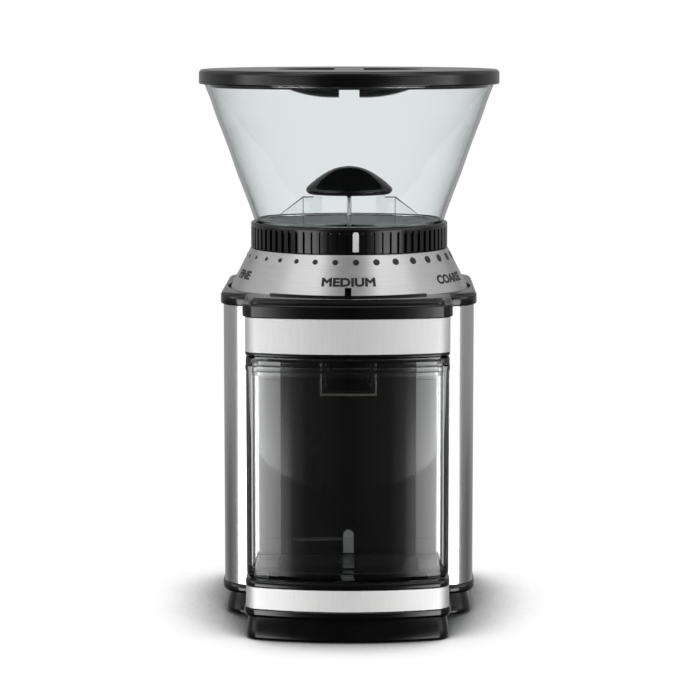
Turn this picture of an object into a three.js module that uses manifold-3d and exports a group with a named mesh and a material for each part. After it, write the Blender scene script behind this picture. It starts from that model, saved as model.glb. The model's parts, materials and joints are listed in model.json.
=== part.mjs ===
// A burr coffee grinder, in millimetres, +Z up, front towards -Y.
// The origin is on the worktop, under the middle of the machine's bounding box.
// A wide rear block holds the motor and gearbox under the grinding chamber, with the bean hopper on top.
// A narrower front block is split in two: a head above, a base below, and the clear grounds container between.
import * as THREE from "three";
import { mergeVertices } from "three/addons/utils/BufferGeometryUtils.js";
import Module from "manifold-3d";

const wasm = await Module();
wasm.setup();

// ---------------------------------------------------------------- driving dimensions
const HEIGHT = 273;
const DEPTH = 181.2;
const LID_RADIUS = 76.2;
const FRONT_Y = -DEPTH / 2;
const AXIS_Y = DEPTH / 2 - LID_RADIUS; // the burrs, hopper and lid turn about the line x = 0, y = AXIS_Y
const GAP = 0.3; // between pieces that touch on the real machine

const REAR = { half: 62.8, front: -30.4, back: 82.4, frontRadius: 16, backRadius: 18 };
const FRONT = { half: 49.3, bowRadius: 135, cornerRadius: 9.5 };
const SHEET = 0.8; // steel sheet of the shells and bands

const LEVEL = {
  baseBottom: 0.3,
  neck: 10.4,
  trim: 11.5,
  shellBottom: 15.9,
  bandLow: [15.4, 25.8],
  bayFloor: 29.3,
  headBottom: 138.2,
  bandHigh: [140, 156.7],
  shellTop: 156.5,
  shoulder: 156.8,
  top: 162.9,
  browStep: 164.9,
  brow: 165.8,
};

const SCALE_RING = { low: 160.5, high: 182.6, lowRadius: 61.5, highRadius: 50.3 };
const INDEX_TURN = 4.2; // degrees to the right of straight ahead, at the tenth of the eighteen settings
const COLLAR = { low: 183.1, high: 195.9, outer: 50.1, inner: 46.4 };
const BURR = { outer: 26, gap: 0.735, face: 170, teeth: 16, toothHeight: 1.5 };
const SHAFT_RADIUS = 4;
const CHUTE = { half: 10.6, wall: 1.2, front: -33.2, back: -14.6, low: 110, spoutLow: 116.2, spoutHigh: 133 };

// Gear train: the motor's pinion drives the idler's wheel, and the idler's pinion drives the burr shaft's gear.
const PINION = { teeth: 12, module: 1 };
const WHEEL = { teeth: 48, module: 1 };
const IDLER_PINION = { teeth: 14, module: 1.2 };
const OUTPUT = { teeth: 40, module: 1.2 };
const IDLER_DIRECTION = (127 * Math.PI) / 180; // from the burr shaft to the idler, seen from above
const MOTOR_DIRECTION = (8 * Math.PI) / 180; // from the idler to the motor
const idlerReach = ((IDLER_PINION.teeth + OUTPUT.teeth) * OUTPUT.module) / 2;
const motorReach = ((PINION.teeth + WHEEL.teeth) * WHEEL.module) / 2;
const IDLER = {
  x: idlerReach * Math.cos(IDLER_DIRECTION),
  y: AXIS_Y + idlerReach * Math.sin(IDLER_DIRECTION),
};
const MOTOR = {
  x: IDLER.x + motorReach * Math.cos(MOTOR_DIRECTION),
  y: IDLER.y + motorReach * Math.sin(MOTOR_DIRECTION),
  radius: 26,
};
const LAYER = { wheel: [121.3, 127], output: [131, 141] }; // heights of the two gear pairs
const CONTROL = { y: 45, plate: [32, 58, 47, 129], knobZ: 98, buttonZ: 60 }; // plate: low y, high y, low z, high z
const FULL_TURN = 2 * Math.PI;

// ---------------------------------------------------------------- solids
function solid(geometry) {
  const bare = geometry.index ? geometry.toNonIndexed() : geometry.clone();
  bare.deleteAttribute("normal");
  bare.deleteAttribute("uv");
  const merged = mergeVertices(bare, 1e-4);
  return new wasm.Manifold(
    new wasm.Mesh({
      numProp: 3,
      vertProperties: new Float32Array(merged.attributes.position.array),
      triVerts: new Uint32Array(merged.index.array),
    }),
  );
}

function geometryOf(made) {
  const mesh = made.getMesh();
  const geometry = new THREE.BufferGeometry();
  geometry.setAttribute("position", new THREE.BufferAttribute(new Float32Array(mesh.vertProperties), 3));
  geometry.setIndex(new THREE.BufferAttribute(new Uint32Array(mesh.triVerts), 1));
  geometry.computeVertexNormals();
  return geometry;
}

const join = (first, ...others) => others.reduce((made, other) => made.add(other), first);
const cut = (first, ...others) => others.reduce((made, other) => made.subtract(other), first);

function box([x0, x1], [y0, y1], [z0, z1]) {
  const geometry = new THREE.BoxGeometry(x1 - x0, y1 - y0, z1 - z0);
  return solid(geometry.translate((x0 + x1) / 2, (y0 + y1) / 2, (z0 + z1) / 2));
}

// A cylinder along Z, or a cone when a top radius is given.
function rod(x, y, [z0, z1], radius, sides = 20, topRadius = radius) {
  const geometry = new THREE.CylinderGeometry(topRadius, radius, z1 - z0, sides);
  return solid(geometry.rotateX(Math.PI / 2).translate(x, y, (z0 + z1) / 2));
}

function tube(x, y, z, outer, inner, sides = 20) {
  return cut(rod(x, y, z, outer, sides), rod(x, y, [z[0] - 1, z[1] + 1], inner, sides));
}

// A cylinder along X or Y.
function crossRod(axis, [from, to], [a, z], radius, sides = 16) {
  const geometry = new THREE.CylinderGeometry(radius, radius, to - from, sides);
  const middle = (from + to) / 2;
  if (axis === "x") return solid(geometry.rotateZ(Math.PI / 2).translate(middle, a, z));
  return solid(geometry.translate(a, middle, z));
}

// A profile of [radius, height] points, anticlockwise in the r-z plane, turned about a vertical line.
function turned(profile, sides = 36, x = 0, y = AXIS_Y) {
  const points = [...profile, profile[0]].map(([r, z]) => new THREE.Vector2(Math.max(r, 0), z));
  const geometry = new THREE.LatheGeometry(points, sides);
  return solid(geometry.rotateX(Math.PI / 2).translate(x, y, 0));
}

function arc(x, y, radius, from, to, steps = 5) {
  return new THREE.EllipseCurve(x, y, radius, radius, from, to).getPoints(steps);
}

function prism(points, [z0, z1]) {
  const shape = new THREE.Shape(points);
  const geometry = new THREE.ExtrudeGeometry(shape, { depth: z1 - z0, bevelEnabled: false });
  return solid(geometry.translate(0, 0, z0));
}

// A closed body through outlines of equal point count, each { points, z }, anticlockwise from above.
function loft(rings) {
  const count = rings[0].points.length;
  const positions = rings.flatMap(({ points, z }) => points.flatMap((p) => [p.x, p.y, z]));
  const index = [];
  for (let ring = 0; ring + 1 < rings.length; ring++) {
    for (let i = 0; i < count; i++) {
      const a = ring * count + i;
      const b = ring * count + ((i + 1) % count);
      index.push(a, b, b + count, a, b + count, a + count);
    }
  }
  for (const [ring, up] of [[0, false], [rings.length - 1, true]]) {
    for (const [a, b, c] of THREE.ShapeUtils.triangulateShape(rings[ring].points, [])) {
      const face = [a, b, c].map((i) => i + ring * count);
      index.push(...(up ? face : face.reverse()));
    }
  }
  const geometry = new THREE.BufferGeometry();
  geometry.setAttribute("position", new THREE.Float32BufferAttribute(positions, 3));
  geometry.setIndex(index);
  return solid(geometry);
}

// ---------------------------------------------------------------- outlines
// The rear block: a rounded rectangle, drawn in by inset all round.
function rearOutline(inset = 0) {
  const { half, front, back, frontRadius: rf, backRadius: rb } = REAR;
  return [
    ...arc(-half + rf, front + rf, rf - inset, Math.PI, 1.5 * Math.PI),
    ...arc(half - rf, front + rf, rf - inset, 1.5 * Math.PI, FULL_TURN),
    ...arc(half - rb, back - rb, rb - inset, 0, 0.5 * Math.PI),
    ...arc(-half + rb, back - rb, rb - inset, 0.5 * Math.PI, Math.PI),
  ];
}

// The front block's bowed front and its two rounded corners, from left to right.
function frontCurve(inset) {
  const { half, bowRadius, cornerRadius: r } = FRONT;
  const bowY = FRONT_Y + bowRadius;
  const cornerX = half - r;
  const cornerY = bowY - Math.sqrt((bowRadius - r) ** 2 - cornerX ** 2);
  const turn = Math.atan2(cornerY - bowY, cornerX);
  return [
    ...arc(-cornerX, cornerY, r - inset, Math.PI, Math.PI - turn),
    ...arc(0, bowY, bowRadius - inset, Math.PI - turn, FULL_TURN + turn, 10).slice(1, -1),
    ...arc(cornerX, cornerY, r - inset, FULL_TURN + turn, FULL_TURN),
  ];
}

function frontOutline(inset, backY) {
  const x = FRONT.half - inset;
  return [new THREE.Vector2(-x, backY), ...frontCurve(inset), new THREE.Vector2(x, backY)];
}

// The container's outline has rounded back corners as well.
const CONTAINER = { back: -31.4, low: 29.7, rim: 133.5, wall: 2.4, backRadius: 6, set: 0.4 };
function containerOutline(inset) {
  const r = CONTAINER.backRadius;
  const x = FRONT.half - r;
  const y = CONTAINER.back - r;
  return [
    ...arc(x, y, r - inset, 0, 0.5 * Math.PI, 4),
    ...arc(-x, y, r - inset, 0.5 * Math.PI, Math.PI, 4),
    ...frontCurve(inset),
  ];
}

// ---------------------------------------------------------------- parts list
const parts = new THREE.Group();
const MATERIAL = {
  blackPlastic: { color: 0x0c0d0e, roughness: 0.22, metalness: 0 },
  innerPlastic: { color: 0x17181a, roughness: 0.5, metalness: 0 },
  steel: { color: 0xc4c5c7, roughness: 0.28, metalness: 1 },
  bareSteel: { color: 0x9a9b9d, roughness: 0.35, metalness: 1 },
  clear: { color: 0xdfe6e6, roughness: 0.05, metalness: 0, transparent: true, opacity: 0.3 },
  smoked: { color: 0x9aa0a0, roughness: 0.05, metalness: 0, transparent: true, opacity: 0.4 },
  rubber: { color: 0x1a1a1a, roughness: 0.9, metalness: 0 },
  white: { color: 0xe8e8e6, roughness: 0.4, metalness: 0 },
  brass: { color: 0xb08d4a, roughness: 0.35, metalness: 1 },
  nylon: { color: 0xd9d4c4, roughness: 0.5, metalness: 0 },
  board: { color: 0x1f5a34, roughness: 0.6, metalness: 0 },
  winding: { color: 0x8a4a24, roughness: 0.4, metalness: 0.8 },
};

function place(group, name, material, made) {
  const mesh = new THREE.Mesh(geometryOf(made), new THREE.MeshStandardMaterial(MATERIAL[material]));
  mesh.name = name;
  group.add(mesh);
}

function subassembly() {
  const group = new THREE.Group();
  parts.add(group);
  return group;
}

// ---------------------------------------------------------------- base
const SCREW_SPOTS = [[-38, -60], [38, -60], [-53, 60], [53, 60]];
const PAD_SPOTS = [[-30, -72], [30, -72], [-39, 63], [39, 63]];

function baseTray() {
  const joinY = -25; // the front block runs this far into the rear block, below the shells
  const meetY = REAR.front - 0.4; // above them it stops short of the steel
  const rear = loft([
    { points: rearOutline(1.3), z: LEVEL.baseBottom },
    { points: rearOutline(0.8), z: 1.6 },
    { points: rearOutline(2.8), z: LEVEL.neck },
    { points: rearOutline(-0.9), z: LEVEL.trim },
    { points: rearOutline(-0.9), z: LEVEL.shellBottom - GAP },
    { points: rearOutline(SHEET + 0.5), z: LEVEL.shellBottom - GAP },
    { points: rearOutline(SHEET + 0.5), z: 21 },
  ]);
  const ledge = LEVEL.bandLow[0] - GAP;
  const rim = LEVEL.bandLow[1] + GAP;
  const front = loft([
    { points: frontOutline(0.6, joinY), z: LEVEL.baseBottom },
    { points: frontOutline(0.1, joinY), z: 1.6 },
    { points: frontOutline(1.3, joinY), z: LEVEL.neck },
    { points: frontOutline(0, joinY), z: LEVEL.trim },
    { points: frontOutline(0, joinY), z: ledge },
    { points: frontOutline(SHEET + 0.5, meetY), z: ledge },
    { points: frontOutline(SHEET + 0.5, meetY), z: rim },
    { points: frontOutline(0, meetY), z: rim },
    { points: frontOutline(0, meetY), z: LEVEL.bayFloor - 0.6 },
    { points: frontOutline(0.6, meetY), z: LEVEL.bayFloor },
  ]);
  const wall = 4.5;
  const hollows = [
    prism(rearOutline(wall), [-1, 22]),
    prism(frontOutline(wall, -20), [-1, 13]),
    prism(frontOutline(wall, -33.5), [12, LEVEL.bayFloor - 2.5]),
  ];
  const bosses = SCREW_SPOTS.map(([x, y]) => rod(x, y, [4.2, y < 0 ? 27.5 : 14], 6, 16));
  const holes = SCREW_SPOTS.map(([x, y]) => rod(x, y, [3, 13], 1.9, 10));
  return cut(join(cut(join(rear, front), ...hollows), ...bosses), ...holes);
}

function bottomCover() {
  const wall = 5;
  const plate = join(prism(rearOutline(wall), [1.2, 3.8]), prism(frontOutline(wall, -20), [1.2, 3.8]));
  const pads = PAD_SPOTS.map(([x, y]) => rod(x, y, [0, 2.3], 8.4, 14));
  const screws = SCREW_SPOTS.flatMap(([x, y]) => [rod(x, y, [0, 2.4], 4.4, 10), rod(x, y, [0, 5], 2.2, 10)]);
  const slots = [];
  for (let x = MOTOR.x - 16; x <= MOTOR.x + 16; x += 8) slots.push(box([x - 2, x + 2], [34, 54], [0, 5]));
  return cut(plate, ...pads, ...screws, ...slots);
}

function baseScrew([x, y]) {
  const head = rod(x, y, [1.3, 2.2], 3.9, 10);
  const slot = box([x - 3, x + 3], [y - 0.5, y + 0.5], [1, 1.8]);
  return cut(join(head, rod(x, y, [2, 12], 1.6, 8)), slot);
}

// A steel strip round the front block's front and sides.
function frontBand(z) {
  const backY = REAR.front - 1.4;
  return cut(prism(frontOutline(0, backY), z), prism(frontOutline(SHEET, backY + 1), [z[0] - 1, z[1] + 1]));
}

// ---------------------------------------------------------------- rear block
const PANEL_HALF = 33.5; // the black bay panel between the two shells' front edges
const COVER_HALF = 38.2; // the black rear cover between their back edges

function sideShell(side) {
  const edge = (inset) => [
    new THREE.Vector2(PANEL_HALF + GAP, REAR.front + inset),
    ...arc(REAR.half - REAR.frontRadius, REAR.front + REAR.frontRadius, REAR.frontRadius - inset, -Math.PI / 2, 0),
    ...arc(REAR.half - REAR.backRadius, REAR.back - REAR.backRadius, REAR.backRadius - inset, 0, Math.PI / 2),
    new THREE.Vector2(COVER_HALF + GAP, REAR.back - inset),
  ];
  const shell = prism([...edge(0), ...edge(SHEET).reverse()], [LEVEL.shellBottom, LEVEL.shellTop]);
  if (side < 0) return shell.mirror([1, 0, 0]);
  const [y0, y1, z0, z1] = CONTROL.plate;
  return cut(shell, box([55, 70], [y0 + 1, y1 - 1], [z0 + 1, z1 - 1]));
}

const GLAND = { x: 0, z: 34, radius: 6 };

function rearCover() {
  const skin = box([-COVER_HALF, COVER_HALF], [REAR.back - 1, REAR.back], [LEVEL.shellBottom, LEVEL.shellTop]);
  const back = box([-COVER_HALF, COVER_HALF], [REAR.back - 2.4, REAR.back], [21.3, 149.2]);
  const slots = [];
  for (let z = 96; z <= 141; z += 7.5) slots.push(box([-24, 24], [70, 90], [z, z + 3]));
  return cut(join(skin, back), ...slots, crossRod("y", [70, 90], [GLAND.x, GLAND.z], GLAND.radius));
}

function cordGland() {
  const flange = crossRod("y", [REAR.back + GAP, REAR.back + 2.3], [GLAND.x, GLAND.z], 8.6);
  const sleeve = crossRod("y", [REAR.back - 6, REAR.back + 2], [GLAND.x, GLAND.z], GLAND.radius - GAP);
  return cut(join(flange, sleeve), crossRod("y", [60, 95], [GLAND.x, GLAND.z], 3.6));
}

const PLUNGER = { half: 2.6, low: 31.6, high: 44.4, front: -31.05, back: -17.5 };

function bayPanel() {
  const back = REAR.front + 2.2;
  const panel = box([-PANEL_HALF, PANEL_HALF], [REAR.front, back], [LEVEL.bayFloor + GAP, LEVEL.headBottom - GAP]);
  const spout = CHUTE.half + 0.6;
  const window = box([-spout, spout], [-40, -20], [CHUTE.spoutLow - 0.6, CHUTE.spoutHigh + 0.6]);
  const half = PLUNGER.half + 0.5;
  return cut(panel, window, box([-half, half], [-40, -20], [PLUNGER.low - 0.5, PLUNGER.high + 0.5]));
}

function topHousing() {
  const body = loft([
    { points: rearOutline(SHEET + 0.5), z: 149.5 },
    { points: rearOutline(SHEET + 0.5), z: LEVEL.shoulder },
    { points: rearOutline(-1.4), z: LEVEL.shoulder },
    { points: rearOutline(-1.4), z: LEVEL.top - 1.7 },
    { points: rearOutline(-0.6), z: LEVEL.top - 0.5 },
    { points: rearOutline(0.8), z: LEVEL.top },
  ]);
  const inside = prism(rearOutline(4.2), [149, LEVEL.shoulder]);
  const frontGap = box([-PANEL_HALF, PANEL_HALF], [-40, -20], [140, LEVEL.shoulder]);
  const seat = rod(0, AXIS_Y, [160.2, 170], SCALE_RING.lowRadius + 0.6, 48);
  const upstand = rod(0, AXIS_Y, [158, 180.4], 48.5, 40);
  const hole = rod(0, AXIS_Y, [140, 190], 45.2, 40);
  return cut(join(cut(body, inside, frontGap, seat), upstand), hole);
}

// ---------------------------------------------------------------- head
function headShell() {
  const backY = REAR.front - 0.4;
  const low = LEVEL.headBottom;
  const high = LEVEL.bandHigh[1] - GAP;
  const ledge = LEVEL.bandHigh[0] - GAP;
  const outside = loft([
    { points: frontOutline(0.6, backY), z: low },
    { points: frontOutline(0, backY), z: low + 0.6 },
    { points: frontOutline(0, backY), z: ledge },
    { points: frontOutline(SHEET + 0.5, backY), z: ledge },
    { points: frontOutline(SHEET + 0.5, backY), z: high },
  ]);
  return cut(outside, prism(frontOutline(4, -34), [low + 2.6, high + 1]));
}

const LIP = { inner: SCALE_RING.lowRadius + 0.6, outer: 64.4, top: 163.9, halfAngle: (37 * Math.PI) / 180 };
const CAP_FLARE = 1.026; // the cap stands out a little past the steel band on both sides

function headCap() {
  const backY = REAR.front - 1.4 - GAP;
  const flare = ({ x, y }) => new THREE.Vector2(x * CAP_FLARE, y);
  const overhang = (inset) => frontOutline(inset, backY).map(flare);
  const body = loft([
    { points: overhang(1), z: LEVEL.bandHigh[1] + GAP },
    { points: overhang(0), z: LEVEL.bandHigh[1] + 1.3 },
    { points: overhang(0), z: LEVEL.top - 0.4 },
    { points: overhang(0.4), z: LEVEL.top },
  ]);
  // A low brow with one step stands along the front edge.
  const brow = cut(
    join(
      prism(frontOutline(2.3, -74), [LEVEL.top - 1, LEVEL.browStep]),
      prism(frontOutline(3.6, -74), [LEVEL.top - 1, LEVEL.brow]),
    ),
    prism(frontOutline(6.2, -60), [LEVEL.top, 170]),
  );
  const middle = 1.5 * Math.PI;
  const lip = prism(
    [
      ...arc(0, AXIS_Y, LIP.outer, middle - LIP.halfAngle, middle + LIP.halfAngle, 12),
      ...arc(0, AXIS_Y, LIP.inner - 1, middle + LIP.halfAngle, middle - LIP.halfAngle, 12),
    ],
    [LEVEL.top - 1, LIP.top],
  );
  const pointer = box([-1.6, 1.6], [AXIS_Y - LIP.outer + 0.6, AXIS_Y - LIP.inner - 0.1], [LIP.top - 1, 167.7]);
  const hollow = prism(frontOutline(4, -34), [LEVEL.bandHigh[1], 159.4]);
  const seat = rod(0, AXIS_Y, [160.2, 170], LIP.inner, 48);
  const upstandGap = rod(0, AXIS_Y, [150, 170], 48.9, 48);
  return join(cut(join(body, brow, lip), hollow, seat, upstandGap), pointer);
}

// ---------------------------------------------------------------- grinding chamber
function scaleRing() {
  const { low, high, lowRadius, highRadius } = SCALE_RING;
  const skin = 1.3;
  return turned(
    [[lowRadius - skin, low], [lowRadius, low], [highRadius, high], [48.9, high], [48.9, high - 1.1],
      [highRadius - skin, high - 1.1]],
    48,
  );
}

function grindBowl() {
  const wall = turned([
    [6.9, 150], [33, 150], [33, 168], [44, 171.5], [44, 181.4], [39, 181.4], [39, 173], [30, 171.5], [30, 153],
    [6.9, 153],
  ]);
  const ears = cut(box([-57, 57], [AXIS_Y - 6, AXIS_Y + 6], [153.6, 156.4]), rod(0, AXIS_Y, [150, 160], 32, 32));
  const top = 166.5;
  const pocket = box([-CHUTE.half - 0.4, CHUTE.half + 0.4], [-28, AXIS_Y - 29], [150, top]);
  const way = box([-CHUTE.half + 1.2, CHUTE.half - 1.2], [-26.6, AXIS_Y - 26], [153, top - 1.6]);
  const drop = box([-CHUTE.half + 1.2, CHUTE.half - 1.2], [-26.6, CHUTE.back - 1.3], [149, 155]);
  return cut(join(wall, ears, pocket), way, drop);
}

function chute() {
  const { half, wall, front, back, low, spoutLow, spoutHigh } = CHUTE;
  const ductFront = -27.9;
  const duct = box([-half, half], [ductFront, back], [low, 149.7]);
  const spout = box([-half, half], [front, ductFront + 1], [spoutLow, spoutHigh]);
  const inner = half - wall;
  const shaft = box([-inner, inner], [ductFront + wall, back - wall], [spoutLow + wall, 152]);
  const mouth = box([-inner, inner], [front - 1, ductFront + 3], [spoutLow + wall, spoutHigh - wall]);
  // The wedge at the foot of the duct throws the grounds forwards.
  const slope = new THREE.Shape([
    new THREE.Vector2(ductFront + wall, spoutLow), new THREE.Vector2(back - wall + 0.2, spoutLow),
    new THREE.Vector2(back - wall + 0.2, spoutLow + 12),
  ]);
  const wedge = new THREE.ExtrudeGeometry(slope, { depth: 2 * inner + 0.4, bevelEnabled: false });
  wedge.rotateX(Math.PI / 2).rotateZ(Math.PI / 2).translate(-inner - 0.2, 0, 0);
  return join(cut(join(duct, spout), shaft, mouth), solid(wedge));
}

// Radial grinding blocks on a burr face.
function burrTeeth([z0, z1], inner, outer) {
  const block = box([inner, outer], [-0.9, 0.9], [z0, z1]);
  const blocks = [];
  for (let i = 0; i < BURR.teeth; i++) {
    blocks.push(block.rotate([0, 0, (360 * i) / BURR.teeth]).translate([0, AXIS_Y, 0]));
  }
  return blocks;
}

function lowerBurr() {
  const ringTop = BURR.face - BURR.toothHeight;
  const ring = tube(0, AXIS_Y, [165, ringTop], BURR.outer, 8.5, 30);
  return join(ring, ...burrTeeth([ringTop - 0.5, BURR.face], 11, BURR.outer - 0.4));
}

function upperBurr() {
  const low = BURR.face + BURR.gap;
  const ring = tube(0, AXIS_Y, [low + BURR.toothHeight, low + 5], BURR.outer, 11, 30);
  return join(ring, ...burrTeeth([low, low + BURR.toothHeight + 0.5], 12, BURR.outer - 0.4));
}

function burrHub() {
  const disc = rod(0, AXIS_Y, [161, 164.7], 27.5, 30);
  const boss = rod(0, AXIS_Y, [155.6, 162], 9);
  const paddle = box([8, 28.6], [-1, 1], [155.8, 161.5]);
  const paddles = [0, 90, 180, 270].map((turn) => paddle.rotate([0, 0, turn]).translate([0, AXIS_Y, 0]));
  return cut(join(disc, boss, ...paddles), rod(0, AXIS_Y, [150, 170], SHAFT_RADIUS + GAP, 16));
}

function burrNut() {
  return cut(rod(0, AXIS_Y, [170.4, 174.6], 7, 6), rod(0, AXIS_Y, [160, 180], SHAFT_RADIUS + GAP, 16));
}

// ---------------------------------------------------------------- gears, shafts and motor
// A spur gear's outline. The teeth are a little thin, which is the backlash.
function gearPoints({ teeth, module }, phase) {
  const pitch = (teeth * module) / 2;
  const root = pitch - 1.3 * module;
  const tip = pitch + 0.9 * module;
  const quarter = Math.PI / (2 * teeth);
  const corners = [[root, -1.15], [tip, -0.42], [tip, 0.42], [root, 1.15]];
  const points = [];
  for (let i = 0; i < teeth; i++) {
    for (const [radius, share] of corners) {
      const angle = phase + (FULL_TURN * i) / teeth + share * quarter;
      points.push(new THREE.Vector2(radius * Math.cos(angle), radius * Math.sin(angle)));
    }
  }
  return points;
}

// A tooth of each driving gear points at its partner, and the partner has a gap there.
const gapPhase = (direction, teeth) => direction + Math.PI + Math.PI / teeth;

function spurGear(gear, phase, z, x, y) {
  return prism(gearPoints(gear, phase), z).translate([x, y, 0]);
}

function outputGear() {
  const { x, y } = { x: 0, y: AXIS_Y };
  const gear = spurGear(OUTPUT, IDLER_DIRECTION, LAYER.output, x, y);
  return cut(join(gear, rod(x, y, [127.5, 143.5], 8)), rod(x, y, [120, 150], SHAFT_RADIUS + GAP, 16));
}

function idlerGear() {
  const { x, y } = IDLER;
  const wheel = spurGear(WHEEL, MOTOR_DIRECTION, LAYER.wheel, x, y);
  const pinionZ = [LAYER.wheel[1] - 0.5, LAYER.output[1] + 1];
  const pinion = spurGear(IDLER_PINION, gapPhase(IDLER_DIRECTION, IDLER_PINION.teeth), pinionZ, x, y);
  return cut(join(wheel, pinion), rod(x, y, [110, 150], 2.9, 12));
}

function motorPinion() {
  const { x, y } = MOTOR;
  const gear = spurGear(PINION, gapPhase(MOTOR_DIRECTION, PINION.teeth), [120.8, 127.8], x, y);
  return cut(gear, rod(x, y, [110, 140], 2.8, 12));
}

const GEARBOX = { x: [-47.5, 29], y: [AXIS_Y - 28.4, AXIS_Y + 53.5], floor: [116, 118.5], cover: [146.3, 149.3] };

function gearboxOutline(inset) {
  const [x0, x1] = GEARBOX.x;
  const [y0, y1] = GEARBOX.y;
  const r = 8;
  return [
    ...arc(x0 + r, y0 + r, r - inset, Math.PI, 1.5 * Math.PI, 4),
    ...arc(x1 - r, y0 + r, r - inset, 1.5 * Math.PI, FULL_TURN, 4),
    ...arc(x1 - r, y1 - r, r - inset, 0, 0.5 * Math.PI, 4),
    ...arc(x0 + r, y1 - r, r - inset, 0.5 * Math.PI, Math.PI, 4),
  ];
}

function gearboxBase() {
  const [low, floor] = GEARBOX.floor;
  const tray = cut(prism(gearboxOutline(0), [low, 146]), prism(gearboxOutline(1.4), [floor, 147]));
  return cut(tray, rod(MOTOR.x, MOTOR.y, [110, 120], 7, 16), rod(IDLER.x, IDLER.y, [110, 120], 2.8, 12));
}

function gearboxCover() {
  const plate = prism(gearboxOutline(0), GEARBOX.cover);
  return cut(plate, rod(0, AXIS_Y, [140, 152], 6, 16), rod(IDLER.x, IDLER.y, [140, 152], 2.8, 12));
}

function motorCan() {
  const { x, y, radius } = MOTOR;
  const can = cut(rod(x, y, [54, 114.5], radius, 32), rod(x, y, [53, 112], radius - 2, 32));
  return cut(can, rod(x, y, [110, 116], 8, 16));
}

function motorBell() {
  const { x, y, radius } = MOTOR;
  const vents = [45, 135, 225, 315].map((turn) => {
    const a = (turn * Math.PI) / 180;
    return rod(x + 16 * Math.cos(a), y + 16 * Math.sin(a), [40, 60], 4.5, 12);
  });
  const disc = join(rod(x, y, [50.5, 53.6], radius, 32), rod(x, y, [46, 51], 8, 16));
  return cut(disc, rod(x, y, [40, 60], 2.9, 12), ...vents);
}

function motorArmature() {
  const profile = [
    [0, 31], [2.5, 31], [2.5, 60], [20.5, 60], [20.5, 102], [2.5, 102], [2.5, 105], [9, 105], [9, 111],
    [2.5, 111], [2.5, 129.5], [0, 129.5],
  ];
  return turned(profile, 24, MOTOR.x, MOTOR.y);
}

function coolingFan() {
  const { x, y } = MOTOR;
  const blade = box([4, 21], [-0.7, 0.7], [33, 41]);
  const blades = [];
  for (let turn = 0; turn < 360; turn += 45) blades.push(blade.rotate([0, 0, turn]).translate([x, y, 0]));
  const disc = join(rod(x, y, [40, 42], 21.5, 32), rod(x, y, [33, 43], 6, 16));
  return cut(join(disc, ...blades), rod(x, y, [30, 50], 2.8, 12));
}

// ---------------------------------------------------------------- controls
function controlPlate() {
  const [y0, y1, z0, z1] = CONTROL.plate;
  const { y, knobZ, buttonZ } = CONTROL;
  const face = box([REAR.half + GAP, REAR.half + 1], [y0, y1], [z0, z1]);
  const body = box([59.6, REAR.half + 0.5], [y0 + 1.4, y1 - 1.4], [z0 + 1.4, z1 - 1.4]);
  const recess = box([61, 70], [y - 7.5, y + 7.5], [knobZ - 23.5, knobZ + 23.5]);
  const slot = box([50, 70], [y - 1.3, y + 1.3], [knobZ - 22, knobZ + 22]);
  return cut(join(face, body), recess, slot, crossRod("x", [50, 70], [y, buttonZ], 7));
}

function slideKnob() {
  const { y, knobZ: z } = CONTROL;
  const grip = loft([
    { points: [[-6, -4], [6, -4], [6, 4], [-6, 4]].map(([a, b]) => new THREE.Vector2(a, b)), z: 0 },
    { points: [[-5.2, -2.4], [5.2, -2.4], [5.2, 2.4], [-5.2, 2.4]].map(([a, b]) => new THREE.Vector2(a, b)), z: 3.7 },
  ]);
  const turnedGrip = grip.rotate([90, 0, 90]).translate([61.3, y, z]);
  return join(turnedGrip, box([59.2, 62], [y - 0.8, y + 0.8], [z - 2.4, z + 2.4]));
}

function startButton() {
  const spot = [CONTROL.y, CONTROL.buttonZ];
  return join(crossRod("x", [59, REAR.half + 2], spot, 6.5), crossRod("x", [58.3, 59.2], spot, 8));
}

function interlockPlunger() {
  const { half, low, high, front, back } = PLUNGER;
  const points = [
    new THREE.Vector2(-half, low), new THREE.Vector2(half, low), ...arc(0, high - half, half, 0, Math.PI, 6),
  ];
  const shape = new THREE.ExtrudeGeometry(new THREE.Shape(points), { depth: 6, bevelEnabled: false });
  shape.rotateX(Math.PI / 2).translate(0, front + 6, 0);
  return join(solid(shape), box([-half, half], [front + 5, back], [low + 2, high - 3]));
}

// ---------------------------------------------------------------- upper burr and hopper
function upperBurrCarrier() {
  const low = BURR.face + BURR.gap + 5 + GAP;
  const funnel = turned([[10.5, low], [38.4, low], [38.4, 186], [12.6, 186]]);
  const lug = box([-2.4, 2.4], [12.9, 15.2], [185.5, 191.2]);
  const pivot = crossRod("y", [-20, 20], [0, HANDLE.pivotZ], 1.5, 12);
  const keyway = box([34.8, 40], [-3.2, 3.2], [175, 187]);
  const lugs = [lug, lug.mirror([0, 1, 0])].map((made) => cut(made, pivot).translate([0, AXIS_Y, 0]));
  const keyways = [keyway, keyway.mirror([1, 0, 0])].map((made) => made.translate([0, AXIS_Y, 0]));
  return cut(join(funnel, ...lugs), ...keyways);
}

const HANDLE = { pivotZ: 189, half: 11.3, wire: 1.1, top: 213 };

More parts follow.
